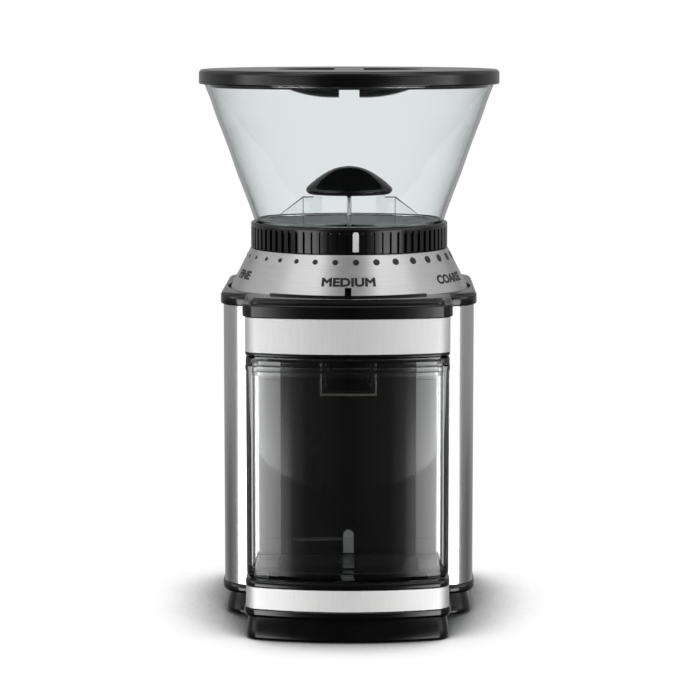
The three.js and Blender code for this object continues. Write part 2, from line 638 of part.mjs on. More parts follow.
function burrHandle() {
  const { pivotZ, half, wire, top } = HANDLE;
  const bend = 5;
  const path = new THREE.CurvePath();
  const corner = (side) => [
    new THREE.Vector3(0, side * half, top - bend),
    new THREE.Vector3(0, side * half, top),
    new THREE.Vector3(0, side * (half - bend), top),
  ];
  const [a, b, c] = corner(-1);
  const [f, e, d] = corner(1);
  path.add(new THREE.LineCurve3(new THREE.Vector3(0, -half, pivotZ - wire), a));
  path.add(new THREE.QuadraticBezierCurve3(a, b, c));
  path.add(new THREE.LineCurve3(c, d));
  path.add(new THREE.QuadraticBezierCurve3(d, e, f));
  path.add(new THREE.LineCurve3(f, new THREE.Vector3(0, half, pivotZ - wire)));
  const section = new THREE.Shape(arc(0, 0, wire, 0, FULL_TURN, 6).slice(0, -1));
  const bail = solid(new THREE.ExtrudeGeometry(section, { steps: 20, extrudePath: path }));
  const stub = crossRod("y", [half - 0.6, 15], [0, pivotZ], wire, 10);
  return join(bail, stub, stub.mirror([0, 1, 0])).translate([0, AXIS_Y, 0]);
}

function adjusterRing() {
  const ring = tube(0, AXIS_Y, [181.7, 189.6], 45.5, 41.5, 40);
  const key = box([36, 42.5], [-2.8, 2.8], [183, 186]);
  const keys = [key, key.mirror([1, 0, 0])].map((made) => made.translate([0, AXIS_Y, 0]));
  return join(ring, ...keys);
}

const HOPPER_WALL = [
  [48.3, 196.6], [49.6, 200.3], [51, 204.4], [54.1, 212.6], [61.4, 233], [67.5, 249.2], [72.6, 263.4], [73.4, 265.8],
  [73.4, 269.9],
];

function hopperCone() {
  const thickness = 2.1;
  const inside = HOPPER_WALL.map(([r, z]) => [r - thickness, z]).reverse();
  return turned([[44, 193.6], [46, 193.6], [46, 196.1], ...HOPPER_WALL, ...inside, [44, 196]], 40);
}

// The dished floor under the beans, with the two fins that hold up the bean guard.
function hopperFloor() {
  const dish = turned(
    [[16, 189], [17, 189], [43, 193.4], [43.7, 193.4], [43.7, 195.9], [43, 195.8], [17, 191.2], [16, 191.2]],
    40,
  );
  const fin = new THREE.Shape(
    [[16.6, 189.6], [40, 193.8], [40, 195.4], [23.5, 208.3], [18.2, 208.3], [18.2, 209.6], [15.8, 209.6],
      [15.8, 208.3], [13.8, 208.3], [13.8, 193.5]].map(([r, z]) => new THREE.Vector2(r, z)),
  );
  const plate = solid(
    new THREE.ExtrudeGeometry(fin, { depth: 1.6, bevelEnabled: false }).rotateX(Math.PI / 2).translate(0, 0.8, 0),
  );
  const fins = [plate, plate.mirror([1, 0, 0])].map((made) => made.translate([0, AXIS_Y, 0]));
  return join(dish, ...fins);
}

function indexSpot(from, to, half, z) {
  return box([-half, half], [-to, -from], z).rotate([0, 0, INDEX_TURN]).translate([0, AXIS_Y, 0]);
}

function hopperCollar() {
  const { low, high, outer, inner } = COLLAR;
  const ring = turned(
    [[inner, low], [outer, low], [outer, high - 0.8], [outer - 0.8, high], [inner, high], [inner, 193.1],
      [43, 193.1], [43, 190], [inner, 190]],
    40,
  );
  return cut(ring, indexSpot(48.6, 52, 1.8, [low - 1, 194.2]));
}

function beanGuard() {
  const outer = [
    [21.1, 210.4], [21.9, 211.4], [21.9, 212.6], [21.2, 213.7], [18.5, 216.1], [14.8, 218.9], [10.1, 221.7],
    [5.6, 223.4], [0, 224.2],
  ];
  const inner = [[0, 222.2], [5.2, 221.4], [9.3, 219.8], [13.6, 217.2], [17.2, 214.4], [19.3, 212.3], [19.7, 210.4]];
  return turned([...outer, ...inner], 32);
}

function hopperLid() {
  const body = turned(
    [[0, 270.2], [73.9, 270.2], [73.9, 265.7], [75.9, 265.7], [LID_RADIUS, 266.1], [LID_RADIUS, HEIGHT - 1.6],
      [75.5, HEIGHT - 0.5], [74.2, HEIGHT], [0, HEIGHT]],
    48,
  );
  // Two half-round finger scoops leave a bridge between them to pinch.
  const scoop = (side, bridge, [a, b, c]) => {
    const bowl = solid(new THREE.SphereGeometry(1, 20, 12).scale(a, b, c));
    const placed = bowl.translate([side * 7.4, AXIS_Y, HEIGHT - 1]);
    const [x0, x1] = side > 0 ? [bridge, 60] : [-60, -bridge];
    return placed.intersect(box([x0, x1], [-60, 90], [250, HEIGHT + 5]));
  };
  const sides = [-1, 1];
  const below = box([-80, 80], [-80, 95], [250, HEIGHT - 2]);
  const outers = sides.map((side) => scoop(side, 5.2, [32, 26, 13.2]).intersect(below));
  const inners = sides.map((side) => scoop(side, 7.4, [30.2, 24.2, 11.4]));
  return cut(join(body, ...outers), ...inners);
}

// ---------------------------------------------------------------- grounds container
const WINDOW = { half: 11.2, low: 115.5 };

function containerBody() {
  const { low, rim, wall, set, back } = CONTAINER;
  const outside = loft([
    { points: containerOutline(1.8), z: low },
    { points: containerOutline(0.5), z: low + 1.5 },
    { points: containerOutline(set), z: rim - 2.5 },
    { points: containerOutline(0), z: rim - 2.5 },
    { points: containerOutline(0), z: rim },
  ]);
  const floor = low + 3.1;
  const inside = loft([
    { points: containerOutline(4.6), z: floor },
    { points: containerOutline(3.2), z: floor + 1.4 },
    { points: containerOutline(set + wall), z: floor + 3.2 },
    { points: containerOutline(set + wall), z: rim + 1 },
  ]);
  const frame = box([-WINDOW.half - 2.8, WINDOW.half + 2.8], [back - 4.4, back - 1], [WINDOW.low - 2.8, 127.6]);
  const window = box([-WINDOW.half, WINDOW.half], [back - 8, back + 1], [WINDOW.low, rim + 1]);
  const recess = prism(containerOutline(5), [low - 1, low + 0.8]);
  const rearEdge = box([-43, 43], [back - 4.5, back + 1], [120.7, rim + 1]); // the rear wall stands lower
  const ledge = box([-43, 43], [back - 3.6, back - 1], [floor - 1, 40.7]);
  return cut(join(cut(outside, inside, rearEdge), frame, ledge), window, recess);
}

function containerLid() {
  const { rim } = CONTAINER;
  const low = rim + GAP;
  const high = 137.6;
  const plate = prism(containerOutline(0.2), [low + 1.6, high]);
  const edge = cut(prism(containerOutline(0.2), [low, high - 1]), prism(containerOutline(2), [low - 1, high]));
  const plug = cut(prism(containerOutline(3.3), [128.5, high - 1]), prism(containerOutline(4.9), [120, high]));
  const notch = box([-WINDOW.half - 3.4, WINDOW.half + 3.4], [-40, -30], [120, low + 0.2]);
  return join(plate, edge, cut(plug, notch));
}

// ---------------------------------------------------------------- assembly
const housing = subassembly();
place(housing, "base_tray", "blackPlastic", baseTray());
place(housing, "bottom_cover", "innerPlastic", bottomCover());
place(housing, "lower_front_band", "steel", frontBand(LEVEL.bandLow));
SCREW_SPOTS.forEach((spot, i) => place(housing, `base_screw_${i + 1}`, "bareSteel", baseScrew(spot)));
PAD_SPOTS.forEach(([x, y], i) => place(housing, `foot_pad_${i + 1}`, "rubber", rod(x, y, [0, 2], 8, 14)));
place(housing, "side_shell_left", "steel", sideShell(-1));
place(housing, "side_shell_right", "steel", sideShell(1));
place(housing, "rear_cover", "blackPlastic", rearCover());
place(housing, "cord_gland", "rubber", cordGland());
place(housing, "bay_panel", "blackPlastic", bayPanel());
place(housing, "top_housing", "blackPlastic", topHousing());
place(housing, "head_shell", "blackPlastic", headShell());
place(housing, "head_cap", "blackPlastic", headCap());
place(housing, "upper_front_band", "steel", frontBand(LEVEL.bandHigh));
place(housing, "scale_ring", "steel", scaleRing());
place(housing, "grind_bowl", "innerPlastic", grindBowl());
place(housing, "shaft_bush", "brass", tube(0, AXIS_Y, [150.2, 155.2], 6.6, SHAFT_RADIUS + GAP, 24));
place(housing, "chute", "innerPlastic", chute());
place(housing, "gearbox_base", "innerPlastic", gearboxBase());
place(housing, "gearbox_cover", "innerPlastic", gearboxCover());
place(housing, "idler_pin", "bareSteel", rod(IDLER.x, IDLER.y, [115, 148], 2.5, 12));
place(housing, "motor_can", "bareSteel", motorCan());
place(housing, "motor_bell", "bareSteel", motorBell());
place(housing, "control_plate", "blackPlastic", controlPlate());
place(housing, "control_board", "board", box([46.5, 48.1], [26, 70], [42, 136]));
place(housing, "slide_potentiometer", "bareSteel", box([48.4, 58.8], [CONTROL.y - 5, CONTROL.y + 5], [72, 124]));
place(housing, "start_switch", "innerPlastic", box([48.4, 56.8], [CONTROL.y - 6, CONTROL.y + 6], [54, 66]));
place(housing, "interlock_switch", "innerPlastic", box([-7, 7], [PLUNGER.back + 0.8, -6], [31, 43]));

const container = subassembly();
place(container, "container_body", "smoked", containerBody());
place(container, "container_lid", "smoked", containerLid());

const controls = subassembly();
place(controls, "slide_knob", "blackPlastic", slideKnob());
place(controls, "start_button", "blackPlastic", startButton());
place(controls, "interlock_plunger", "white", interlockPlunger());

const drive = subassembly();
place(drive, "drive_shaft", "bareSteel", rod(0, AXIS_Y, [119, 172], SHAFT_RADIUS, 16));
place(drive, "output_gear", "nylon", outputGear());
place(drive, "burr_hub", "innerPlastic", burrHub());
place(drive, "lower_burr", "bareSteel", lowerBurr());
place(drive, "burr_nut", "bareSteel", burrNut());
place(drive, "idler_gear", "nylon", idlerGear());
place(drive, "motor_armature", "winding", motorArmature());
place(drive, "motor_pinion", "brass", motorPinion());
place(drive, "cooling_fan", "innerPlastic", coolingFan());

const adjuster = subassembly();
place(adjuster, "adjuster_ring", "innerPlastic", adjusterRing());
place(adjuster, "upper_burr", "bareSteel", upperBurr());
place(adjuster, "upper_burr_carrier", "innerPlastic", upperBurrCarrier());
place(adjuster, "burr_handle", "bareSteel", burrHandle());

const hopper = subassembly();
place(hopper, "hopper_cone", "clear", hopperCone());
place(hopper, "hopper_floor", "clear", hopperFloor());
place(hopper, "hopper_collar", "blackPlastic", hopperCollar());
place(hopper, "index_mark", "white", indexSpot(48.9, 50.3, 1.5, [184, 193.9]));
place(hopper, "bean_guard", "blackPlastic", beanGuard());
place(hopper, "hopper_lid", "blackPlastic", hopperLid());
place(hopper, "lid_seal", "rubber", tube(0, AXIS_Y, [264.5, 269.9], 70.5, 68.7, 40));

export default parts;
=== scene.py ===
"""A burr coffee grinder: finished meshes, materials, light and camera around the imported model.

Lengths are in millimetres until a mesh is made. The front faces -Y.
"""

import json
import math

import bmesh
import bpy
from mathutils import Matrix, Vector


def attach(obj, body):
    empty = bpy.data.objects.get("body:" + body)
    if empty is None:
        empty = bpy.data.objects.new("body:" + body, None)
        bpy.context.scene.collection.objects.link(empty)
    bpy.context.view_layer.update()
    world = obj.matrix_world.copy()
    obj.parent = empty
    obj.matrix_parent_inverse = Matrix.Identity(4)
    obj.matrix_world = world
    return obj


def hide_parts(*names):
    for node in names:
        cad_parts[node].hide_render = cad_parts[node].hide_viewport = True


MM = 0.001
TURN = 2 * math.pi
AXIS_Y = 14.4  # the hopper, burrs and scale ring share this upright axis
FRONT_Y = -90.6
LID_TOP = 273.0
LID_RADIUS = 76.2
INDEX_DEG = 4.2  # the white mark stands this far to the right of straight ahead
STEP_DEG = 11.25
SHEET = 0.8
EDGE_TURN = (0.3, 0.6, 0.9, 1.2, 1.5708)  # angles along a rounded top edge, in radians
CAP_FLARE = 1.026  # the cap stands out a little past the steel band on both sides
UPRIGHT = Matrix(((1, 0, 0), (0, 0, 1), (0, 1, 0)))  # stands a flat plan up to face the front

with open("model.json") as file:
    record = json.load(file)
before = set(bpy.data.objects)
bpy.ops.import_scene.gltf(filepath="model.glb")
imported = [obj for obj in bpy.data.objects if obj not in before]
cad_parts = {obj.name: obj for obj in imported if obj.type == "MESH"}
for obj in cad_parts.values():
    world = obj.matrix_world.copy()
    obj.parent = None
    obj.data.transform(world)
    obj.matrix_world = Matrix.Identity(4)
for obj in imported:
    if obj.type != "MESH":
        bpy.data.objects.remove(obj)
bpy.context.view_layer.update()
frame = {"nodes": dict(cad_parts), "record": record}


# ---------------------------------------------------------------- plain geometry
def arc(x, y, radius, start, end, steps=12):
    """Points along an arc, angles in degrees."""
    turns = [math.radians(start + (end - start) * i / steps) for i in range(steps + 1)]
    return [(x + radius * math.cos(a), y + radius * math.sin(a)) for a in turns]


def fillet(points, radius, steps=5):
    """A closed outline with its corners rounded: radius is one number, or one for each corner."""
    count = len(points)
    radii = radius if isinstance(radius, (list, tuple)) else [radius] * count
    made = []
    for i, r in enumerate(radii):
        here = Vector(points[i])
        before = Vector(points[i - 1]) - here
        after = Vector(points[(i + 1) % count]) - here
        angle = before.angle(after)
        if r <= 0 or angle > math.radians(178):
            made.append(tuple(here))
            continue
        reach = min(r / math.tan(angle / 2), 0.49 * before.length, 0.49 * after.length)
        r = reach * math.tan(angle / 2)
        middle = (before.normalized() + after.normalized()).normalized()
        centre = here + middle * (r / math.sin(angle / 2))
        first = here + before.normalized() * reach - centre
        last = here + after.normalized() * reach - centre
        turn = first.angle_signed(last)
        for k in range(steps + 1):
            p = Matrix.Rotation(-turn * k / steps, 2) @ first
            made.append(tuple(centre + p))
    return made


def combine(*meshes):
    verts, faces = [], []
    for more_verts, more_faces in meshes:
        start = len(verts)
        verts += more_verts
        faces += [tuple(i + start for i in face) for face in more_faces]
    return verts, faces


def moved(mesh, matrix):
    return [tuple(matrix @ Vector(v)) for v in mesh[0]], mesh[1]


def mirrored(mesh):
    return [(-x, y, z) for x, y, z in mesh[0]], [tuple(reversed(face)) for face in mesh[1]]


def grid(columns, rows, point, wrap=True, capped=False):
    """A closed skin of columns round (or a strip) and rows along, from point(column, row)."""
    verts = [point(i, j) for j in range(rows) for i in range(columns)]
    faces = []
    for j in range(rows - 1):
        for i in range(columns if wrap else columns - 1):
            k = (i + 1) % columns
            faces.append((j * columns + i, j * columns + k, (j + 1) * columns + k, (j + 1) * columns + i))
    if capped:
        faces.append(tuple(reversed(range(columns))))
        faces.append(tuple(range((rows - 1) * columns, rows * columns)))
    return verts, faces


def braced(points):
    """The same profile with a point near both ends of each long straight, so that its shading stays flat."""
    made = [points[0]]
    for (a0, b0), (a1, b1) in zip(points, points[1:]):
        reach = math.hypot(a1 - a0, b1 - b0)
        for share in ((0.3 / reach, 1 - 0.3 / reach) if reach > 3.5 else ()):
            made.append((a0 + (a1 - a0) * share, b0 + (b1 - b0) * share))
        made.append((a1, b1))
    return made


def loft(outline, section):
    """A closed body: outline(inset) is its plan, and section its [inset, height] points going up."""
    rings = [[(x, y, z) for x, y in outline(inset)] for inset, z in braced(section)]
    return grid(len(rings[0]), len(rings), lambda i, j: rings[j][i], capped=True)


def prism(outline, z0, z1):
    return loft(lambda inset: outline, [(0, z0), (0, z1)])


def lathe(profile, sides=128, x=0, y=AXIS_Y, closed=True):
    """A profile of [radius, height] points turned round an upright line. Open ones start and end on it."""
    profile = braced(profile)

    def point(i, j):
        radius, z = profile[j % len(profile)]
        a = TURN * i / sides
        return (x + radius * math.cos(a), y + radius * math.sin(a), z)

    return grid(sides, len(profile) + (1 if closed else 0), point)


def block(x, y, z, radius=0.0, steps=4):
    """A box with its upright edges rounded."""
    corners = [(x[0], y[0]), (x[1], y[0]), (x[1], y[1]), (x[0], y[1])]
    return prism(fillet(corners, radius, steps) if radius else corners, z[0], z[1])


def rod(start, end, radius, sides=24, end_radius=None):
    """A round bar from one point to another."""
    a, b = Vector(start), Vector(end)
    turn = (b - a).to_track_quat("Z", "Y").to_matrix()
    radii = (radius, radius if end_radius is None else end_radius)

    def point(i, j):
        t = TURN * i / sides
        return tuple((a, b)[j] + turn @ Vector((radii[j] * math.cos(t), radii[j] * math.sin(t), 0)))

    return grid(sides, 2, point, capped=True)


def tube(path, radius, sides=16):
    """A round wire along a path of points."""
    spots = [Vector(p) for p in path]
    rings = []
    side = None
    for i, spot in enumerate(spots):
        along = (spots[min(i + 1, len(spots) - 1)] - spots[max(i - 1, 0)]).normalized()
        if side is None:
            side = along.orthogonal().normalized()
        side = (side - along * side.dot(along)).normalized()
        other = along.cross(side)
        ring = []
        for k in range(sides):
            t = TURN * k / sides
            ring.append(tuple(spot + radius * (side * math.cos(t) + other * math.sin(t))))
        rings.append(ring)
    return grid(sides, len(rings), lambda i, j: rings[j][i], capped=True)


def smooth_curve(points, steps=6):
    """More points on a smooth line through these."""
    made = []
    for i in range(len(points) - 1):
        p0 = Vector(points[max(i - 1, 0)])
        p1, p2 = Vector(points[i]), Vector(points[i + 1])
        p3 = Vector(points[min(i + 2, len(points) - 1)])
        for k in range(steps):
            t = k / steps
            a = 2 * p1 + (p2 - p0) * t
            b = (2 * p0 - 5 * p1 + 4 * p2 - p3) * t * t
            c = (3 * p1 - p0 - 3 * p2 + p3) * t * t * t
            made.append(tuple((a + b + c) / 2))
    return made + [tuple(points[-1])]


# ---------------------------------------------------------------- making objects
def raw_object(name, mesh, scale=MM):
    verts, faces = mesh
    data = bpy.data.meshes.new(name)
    data.from_pydata([(x * scale, y * scale, z * scale) for x, y, z in verts], [], faces)
    bm = bmesh.new()
    bm.from_mesh(data)
    bmesh.ops.remove_doubles(bm, verts=bm.verts, dist=1e-7)
    bmesh.ops.recalc_face_normals(bm, faces=bm.faces)
    bm.to_mesh(data)
    bm.free()
    thing = bpy.data.objects.new(name, data)
    bpy.context.scene.collection.objects.link(thing)
    return thing


def baked(thing):
    """The same object with its modifiers applied."""
    data = bpy.data.meshes.new_from_object(thing.evaluated_get(bpy.context.evaluated_depsgraph_get()))
    thing.modifiers.clear()
    thing.data = data
    return thing


def boolean(thing, meshes, operation="DIFFERENCE"):
    for mesh in meshes:
        tool = raw_object("tool", mesh)
        modifier = thing.modifiers.new("cut", "BOOLEAN")
        modifier.operation = operation
        modifier.solver = "EXACT"
        modifier.object = tool
        baked(thing)
        bpy.data.objects.remove(tool)
    return thing


def finish(thing, material, body, nodes=(), bevel=0.0, segments=3, angle=32):
    """Bevels and shades an object, then hands it to its body."""
    if bevel:
        modifier = thing.modifiers.new("bevel", "BEVEL")
        modifier.width = bevel * MM
        modifier.segments = segments
        modifier.limit_method = "ANGLE"
        modifier.angle_limit = math.radians(angle)
        modifier.harden_normals = True
    thing.data.polygons.foreach_set("use_smooth", [True] * len(thing.data.polygons))
    thing.data.set_sharp_from_angle(angle=math.radians(angle))
    thing.data.materials.clear()
    thing.data.materials.append(material)
    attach(thing, body)
    if nodes:
        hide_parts(*nodes)
    return thing


# ---------------------------------------------------------------- materials
def new_material(name, **values):
    """A material's Principled shader with plain values on its own sockets."""
    material = bpy.data.materials.new(name)
    material.use_nodes = True
    shader = material.node_tree.nodes["Principled BSDF"]
    for socket, value in values.items():
        shader.inputs[socket.replace("_", " ")].default_value = value
    return material, shader


def pattern(material, scale, stretch=(1, 1, 1), detail=3.0):
    """A noise in the object's own space. Scale is in features per metre."""
    nodes, links = material.node_tree.nodes, material.node_tree.links
    place = nodes.new("ShaderNodeTexCoord")
    mapping = nodes.new("ShaderNodeMapping")
    mapping.inputs["Scale"].default_value = stretch
    links.new(place.outputs["Object"], mapping.inputs["Vector"])
    texture = nodes.new("ShaderNodeTexNoise")
    texture.inputs["Scale"].default_value = scale
    texture.inputs["Detail"].default_value = detail
    links.new(mapping.outputs["Vector"], texture.inputs["Vector"])
    return texture.outputs["Fac"]


def spread(material, source, low, high, source_low=0.3, source_high=0.7):
    """Source mapped onto the range from low to high: numbers or colours."""
    nodes, links = material.node_tree.nodes, material.node_tree.links
    if isinstance(low, (int, float)):
        ranged = nodes.new("ShaderNodeMapRange")
        ranged.inputs["From Min"].default_value = source_low
        ranged.inputs["From Max"].default_value = source_high
        ranged.inputs["To Min"].default_value = low
        ranged.inputs["To Max"].default_value = high
        links.new(source, ranged.inputs["Value"])
        return ranged.outputs["Result"]
    ramp = nodes.new("ShaderNodeValToRGB")
    ramp.color_ramp.elements[0].position = source_low
    ramp.color_ramp.elements[1].position = source_high
    ramp.color_ramp.elements[0].color = (*low, 1)
    ramp.color_ramp.elements[1].color = (*high, 1)
    links.new(source, ramp.inputs["Fac"])
    return ramp.outputs["Color"]


def bump(material, shader, source, strength, distance=0.0002):
    nodes, links = material.node_tree.nodes, material.node_tree.links
    made = nodes.new("ShaderNodeBump")
    made.inputs["Strength"].default_value = strength
    made.inputs["Distance"].default_value = distance
    links.new(source, made.inputs["Height"])
    links.new(made.outputs["Normal"], shader.inputs["Normal"])


def moulded(name, dark, light, rough, bump_strength=0.08, **values):
    """Moulded plastic or rubber: faint flow in the colour, uneven polish and a fine skin."""
    material, shader = new_material(name, **values)
    link = material.node_tree.links.new
    flow = pattern(material, 45, detail=4)
    link(spread(material, flow, dark, light), shader.inputs["Base Color"])
    link(spread(material, flow, rough[0], rough[1]), shader.inputs["Roughness"])
    bump(material, shader, pattern(material, 1400, detail=2), bump_strength, 0.00004)
    return material


def polished_sides(material, rough):
    """Roughness that drops away from the front strips, so the rounded corners and sides are smoother."""
    nodes, link = material.node_tree.nodes, material.node_tree.links.new
    place = nodes.new("ShaderNodeTexCoord")
    split = nodes.new("ShaderNodeSeparateXYZ")
    link(place.outputs["Object"], split.inputs["Vector"])
    across = nodes.new("ShaderNodeMath")
    across.operation = "ABSOLUTE"
    link(split.outputs["X"], across.inputs[0])
    share = nodes.new("ShaderNodeMapRange")
    share.interpolation_type = "SMOOTHSTEP"
    for socket, value in (("From Min", 0.047), ("From Max", 0.052), ("To Min", 1.0), ("To Max", 0.35)):
        share.inputs[socket].default_value = value
    link(across.outputs[0], share.inputs["Value"])
    product = nodes.new("ShaderNodeMath")
    product.operation = "MULTIPLY"
    link(rough, product.inputs[0])
    link(share.outputs["Result"], product.inputs[1])
    return product.outputs[0]


def brushed(name, dark, light, rough, stretch, anisotropic, rotation=0.0, polish=False):
    """Brushed metal: long fine scratches, drawn out along one direction by stretch."""
    material, shader = new_material(
        name, Metallic=1.0, Anisotropic=anisotropic, Anisotropic_Rotation=rotation
    )
    nodes, link = material.node_tree.nodes, material.node_tree.links.new
    scratches = pattern(material, 1.0, stretch, detail=5)
    link(spread(material, scratches, dark, light), shader.inputs["Base Color"])
    roughness = spread(material, scratches, rough[0], rough[1])
    link(polished_sides(material, roughness) if polish else roughness, shader.inputs["Roughness"])
    bump(material, shader, scratches, 0.12, 0.00003)
    tangent = nodes.new("ShaderNodeTangent")
    tangent.direction_type = "RADIAL"
    tangent.axis = "Z"
    link(tangent.outputs["Tangent"], shader.inputs["Tangent"])
    return material


def clear(name, tint, rough, body, density, ior=1.49):
    """Clear plastic of a faintly coloured body. Lamps shine through it, so what is behind it is lit."""
    material, shader = new_material(name, Transmission_Weight=1.0, IOR=ior)
    shader.inputs["Base Color"].default_value = (*tint, 1)
    nodes, link = material.node_tree.nodes, material.node_tree.links.new
    haze = pattern(material, 60, detail=3)
    link(spread(material, haze, rough[0], rough[1]), shader.inputs["Roughness"])
    path = nodes.new("ShaderNodeLightPath")
    lamp_through = nodes.new("ShaderNodeBsdfTransparent")
    lamp_through.inputs["Color"].default_value = (*tint, 1)
    mix = nodes.new("ShaderNodeMixShader")
    link(path.outputs["Is Shadow Ray"], mix.inputs["Fac"])
    link(shader.outputs["BSDF"], mix.inputs[1])
    link(lamp_through.outputs["BSDF"], mix.inputs[2])
    link(mix.outputs["Shader"], nodes["Material Output"].inputs["Surface"])
    absorption = nodes.new("ShaderNodeVolumeAbsorption")
    absorption.inputs["Color"].default_value = (*body, 1)
    absorption.inputs["Density"].default_value = density
    link(absorption.outputs["Volume"], nodes["Material Output"].inputs["Volume"])
    return material


black = moulded("gloss_black", (0.0022, 0.0024, 0.0026), (0.004, 0.0042, 0.0045), (0.1, 0.16), 0.05)
foot_black = moulded(
    "foot_black", (0.003, 0.003, 0.0035), (0.006, 0.006, 0.0065), (0.16, 0.24), 0.05,
    Specular_IOR_Level=0.3,
)
inner = moulded("inner_plastic", (0.022, 0.022, 0.024), (0.034, 0.034, 0.036), (0.4, 0.55), 0.2)
panel = moulded(
    "panel_black", (0.0025, 0.0024, 0.0022), (0.0045, 0.0042, 0.004), (0.26, 0.34), 0.03,
    Specular_IOR_Level=0.06,
)
rubber = moulded("rubber", (0.01, 0.01, 0.01), (0.018, 0.018, 0.018), (0.7, 0.85), 0.3)
grey = moulded("grey_plastic", (0.5, 0.52, 0.52), (0.58, 0.6, 0.6), (0.3, 0.42), 0.15)
white = moulded("white_mark", (0.78, 0.78, 0.77), (0.84, 0.84, 0.83), (0.35, 0.45), 0.1)
nylon = moulded("nylon", (0.6, 0.57, 0.48), (0.68, 0.65, 0.56), (0.4, 0.5), 0.15)
board = moulded("circuit_board", (0.01, 0.06, 0.025), (0.02, 0.09, 0.035), (0.4, 0.5), 0.1)
ink = moulded("ink", (0.008, 0.008, 0.009), (0.014, 0.014, 0.015), (0.4, 0.5), 0.05)
steel = brushed("steel_upright", (0.62, 0.62, 0.62), (0.71, 0.71, 0.705), (0.42, 0.5), (5200, 5200, 60), 0.8)
wrap_steel = brushed(
    "steel_wrap", (0.64, 0.64, 0.64), (0.74, 0.74, 0.735), (0.4, 0.48), (5200, 5200, 60), 0.8, polish=True,
)
ring_steel = brushed(
    "steel_round", (0.6, 0.6, 0.6), (0.7, 0.7, 0.7), (0.28, 0.36), (60, 60, 5600), 0.75, 0.25,
)
bare = brushed("bare_steel", (0.4, 0.4, 0.41), (0.5, 0.5, 0.51), (0.3, 0.42), (400, 400, 400), 0.0)
brass = brushed("brass", (0.62, 0.45, 0.2), (0.7, 0.53, 0.27), (0.28, 0.4), (300, 300, 3000), 0.0)
wire = brushed("bright_wire", (0.55, 0.56, 0.57), (0.68, 0.69, 0.7), (0.12, 0.2), (900, 900, 200), 0.0)
hopper_clear = clear("clear_plastic", (0.985, 0.99, 0.99), (0.0, 0.02), (0.3, 0.5, 0.5), 45)
# The hopper's floor dish: its pale, near-white colour is painted light, standing in for the brightness that
# shows through the clear floor; a little light does pass through it.
dish_painted_light = moulded(
    "clear_floor",
    (0.86, 0.89, 0.89),
    (0.92, 0.95, 0.95),
    (0.25, 0.35),
    0.1,
    Transmission_Weight=0.15,
    IOR=1.49,
)
smoked = clear("smoked_plastic", (0.985, 0.99, 0.988), (0.0, 0.02), (0.25, 0.3, 0.28), 16)
# Dark tinted wire for the fin outlines: painted shade, drawing the dark lines that the clear fins' edges show
# where they bend the light.
fin_edge_painted_shade = clear("fin_painted_edge_shade", (0.8, 0.82, 0.82), (0.1, 0.2), (0.25, 0.3, 0.3), 900)
edge_clear = moulded(
    "cut_edge", (0.2, 0.185, 0.165), (0.28, 0.265, 0.24), (0.25, 0.35), 0.05, Transmission_Weight=0.5,
    IOR=1.49,
)


# ---------------------------------------------------------------- plans of the two blocks
REAR = {"half": 62.8, "front": -30.4, "back": 82.4, "front_radius": 16, "back_radius": 18}
FRONT = {"half": 49.3, "bow": 135, "corner": 9.5}


def rear_plan(inset):
    h, f, b = REAR["half"], REAR["front"], REAR["back"]
    rf, rb = REAR["front_radius"], REAR["back_radius"]
    return [
        *arc(-h + rf, f + rf, rf - inset, 180, 270),
        *arc(h - rf, f + rf, rf - inset, 270, 360),
        *arc(h - rb, b - rb, rb - inset, 0, 90),
        *arc(-h + rb, b - rb, rb - inset, 90, 180),
    ]


def front_curve(inset):
    h, bow, r = FRONT["half"], FRONT["bow"], FRONT["corner"]
    bow_y = FRONT_Y + bow
    x = h - r
    y = bow_y - math.sqrt((bow - r) ** 2 - x**2)
    turn = math.degrees(math.atan2(y - bow_y, x))
    return [
        *arc(-x, y, r - inset, 180, 180 - turn),
        *arc(0, bow_y, bow - inset, 180 - turn, 360 + turn, 24)[1:-1],
        *arc(x, y, r - inset, 360 + turn, 360),
    ]


def front_plan(back):
    def plan(inset):
        x = FRONT["half"] - inset
        return [(-x, back), *front_curve(inset), (x, back)]

    return plan


def container_plan(inset):
    r = 6
    x, y = FRONT["half"] - r, -31.4 - r
    return [
        *arc(x, y, r - inset, 0, 90),
        *arc(-x, y, r - inset, 90, 180),
        *front_curve(inset),
    ]


# ---------------------------------------------------------------- base
REAR_FOOT = [(1.5, 0.3), (1.0, 0.7), (0.8, 1.4), (0.85, 2.6), (1.3, 4.8), (1.9, 7.2), (2.5, 9.4), (2.9, 11.6)]
FRONT_FOOT = [
    (0.8, 0.3), (0.3, 0.7), (0.1, 1.4), (0.15, 2.6), (0.4, 4.8), (0.75, 7.2), (1.1, 9.4), (1.3, 11.6),
]


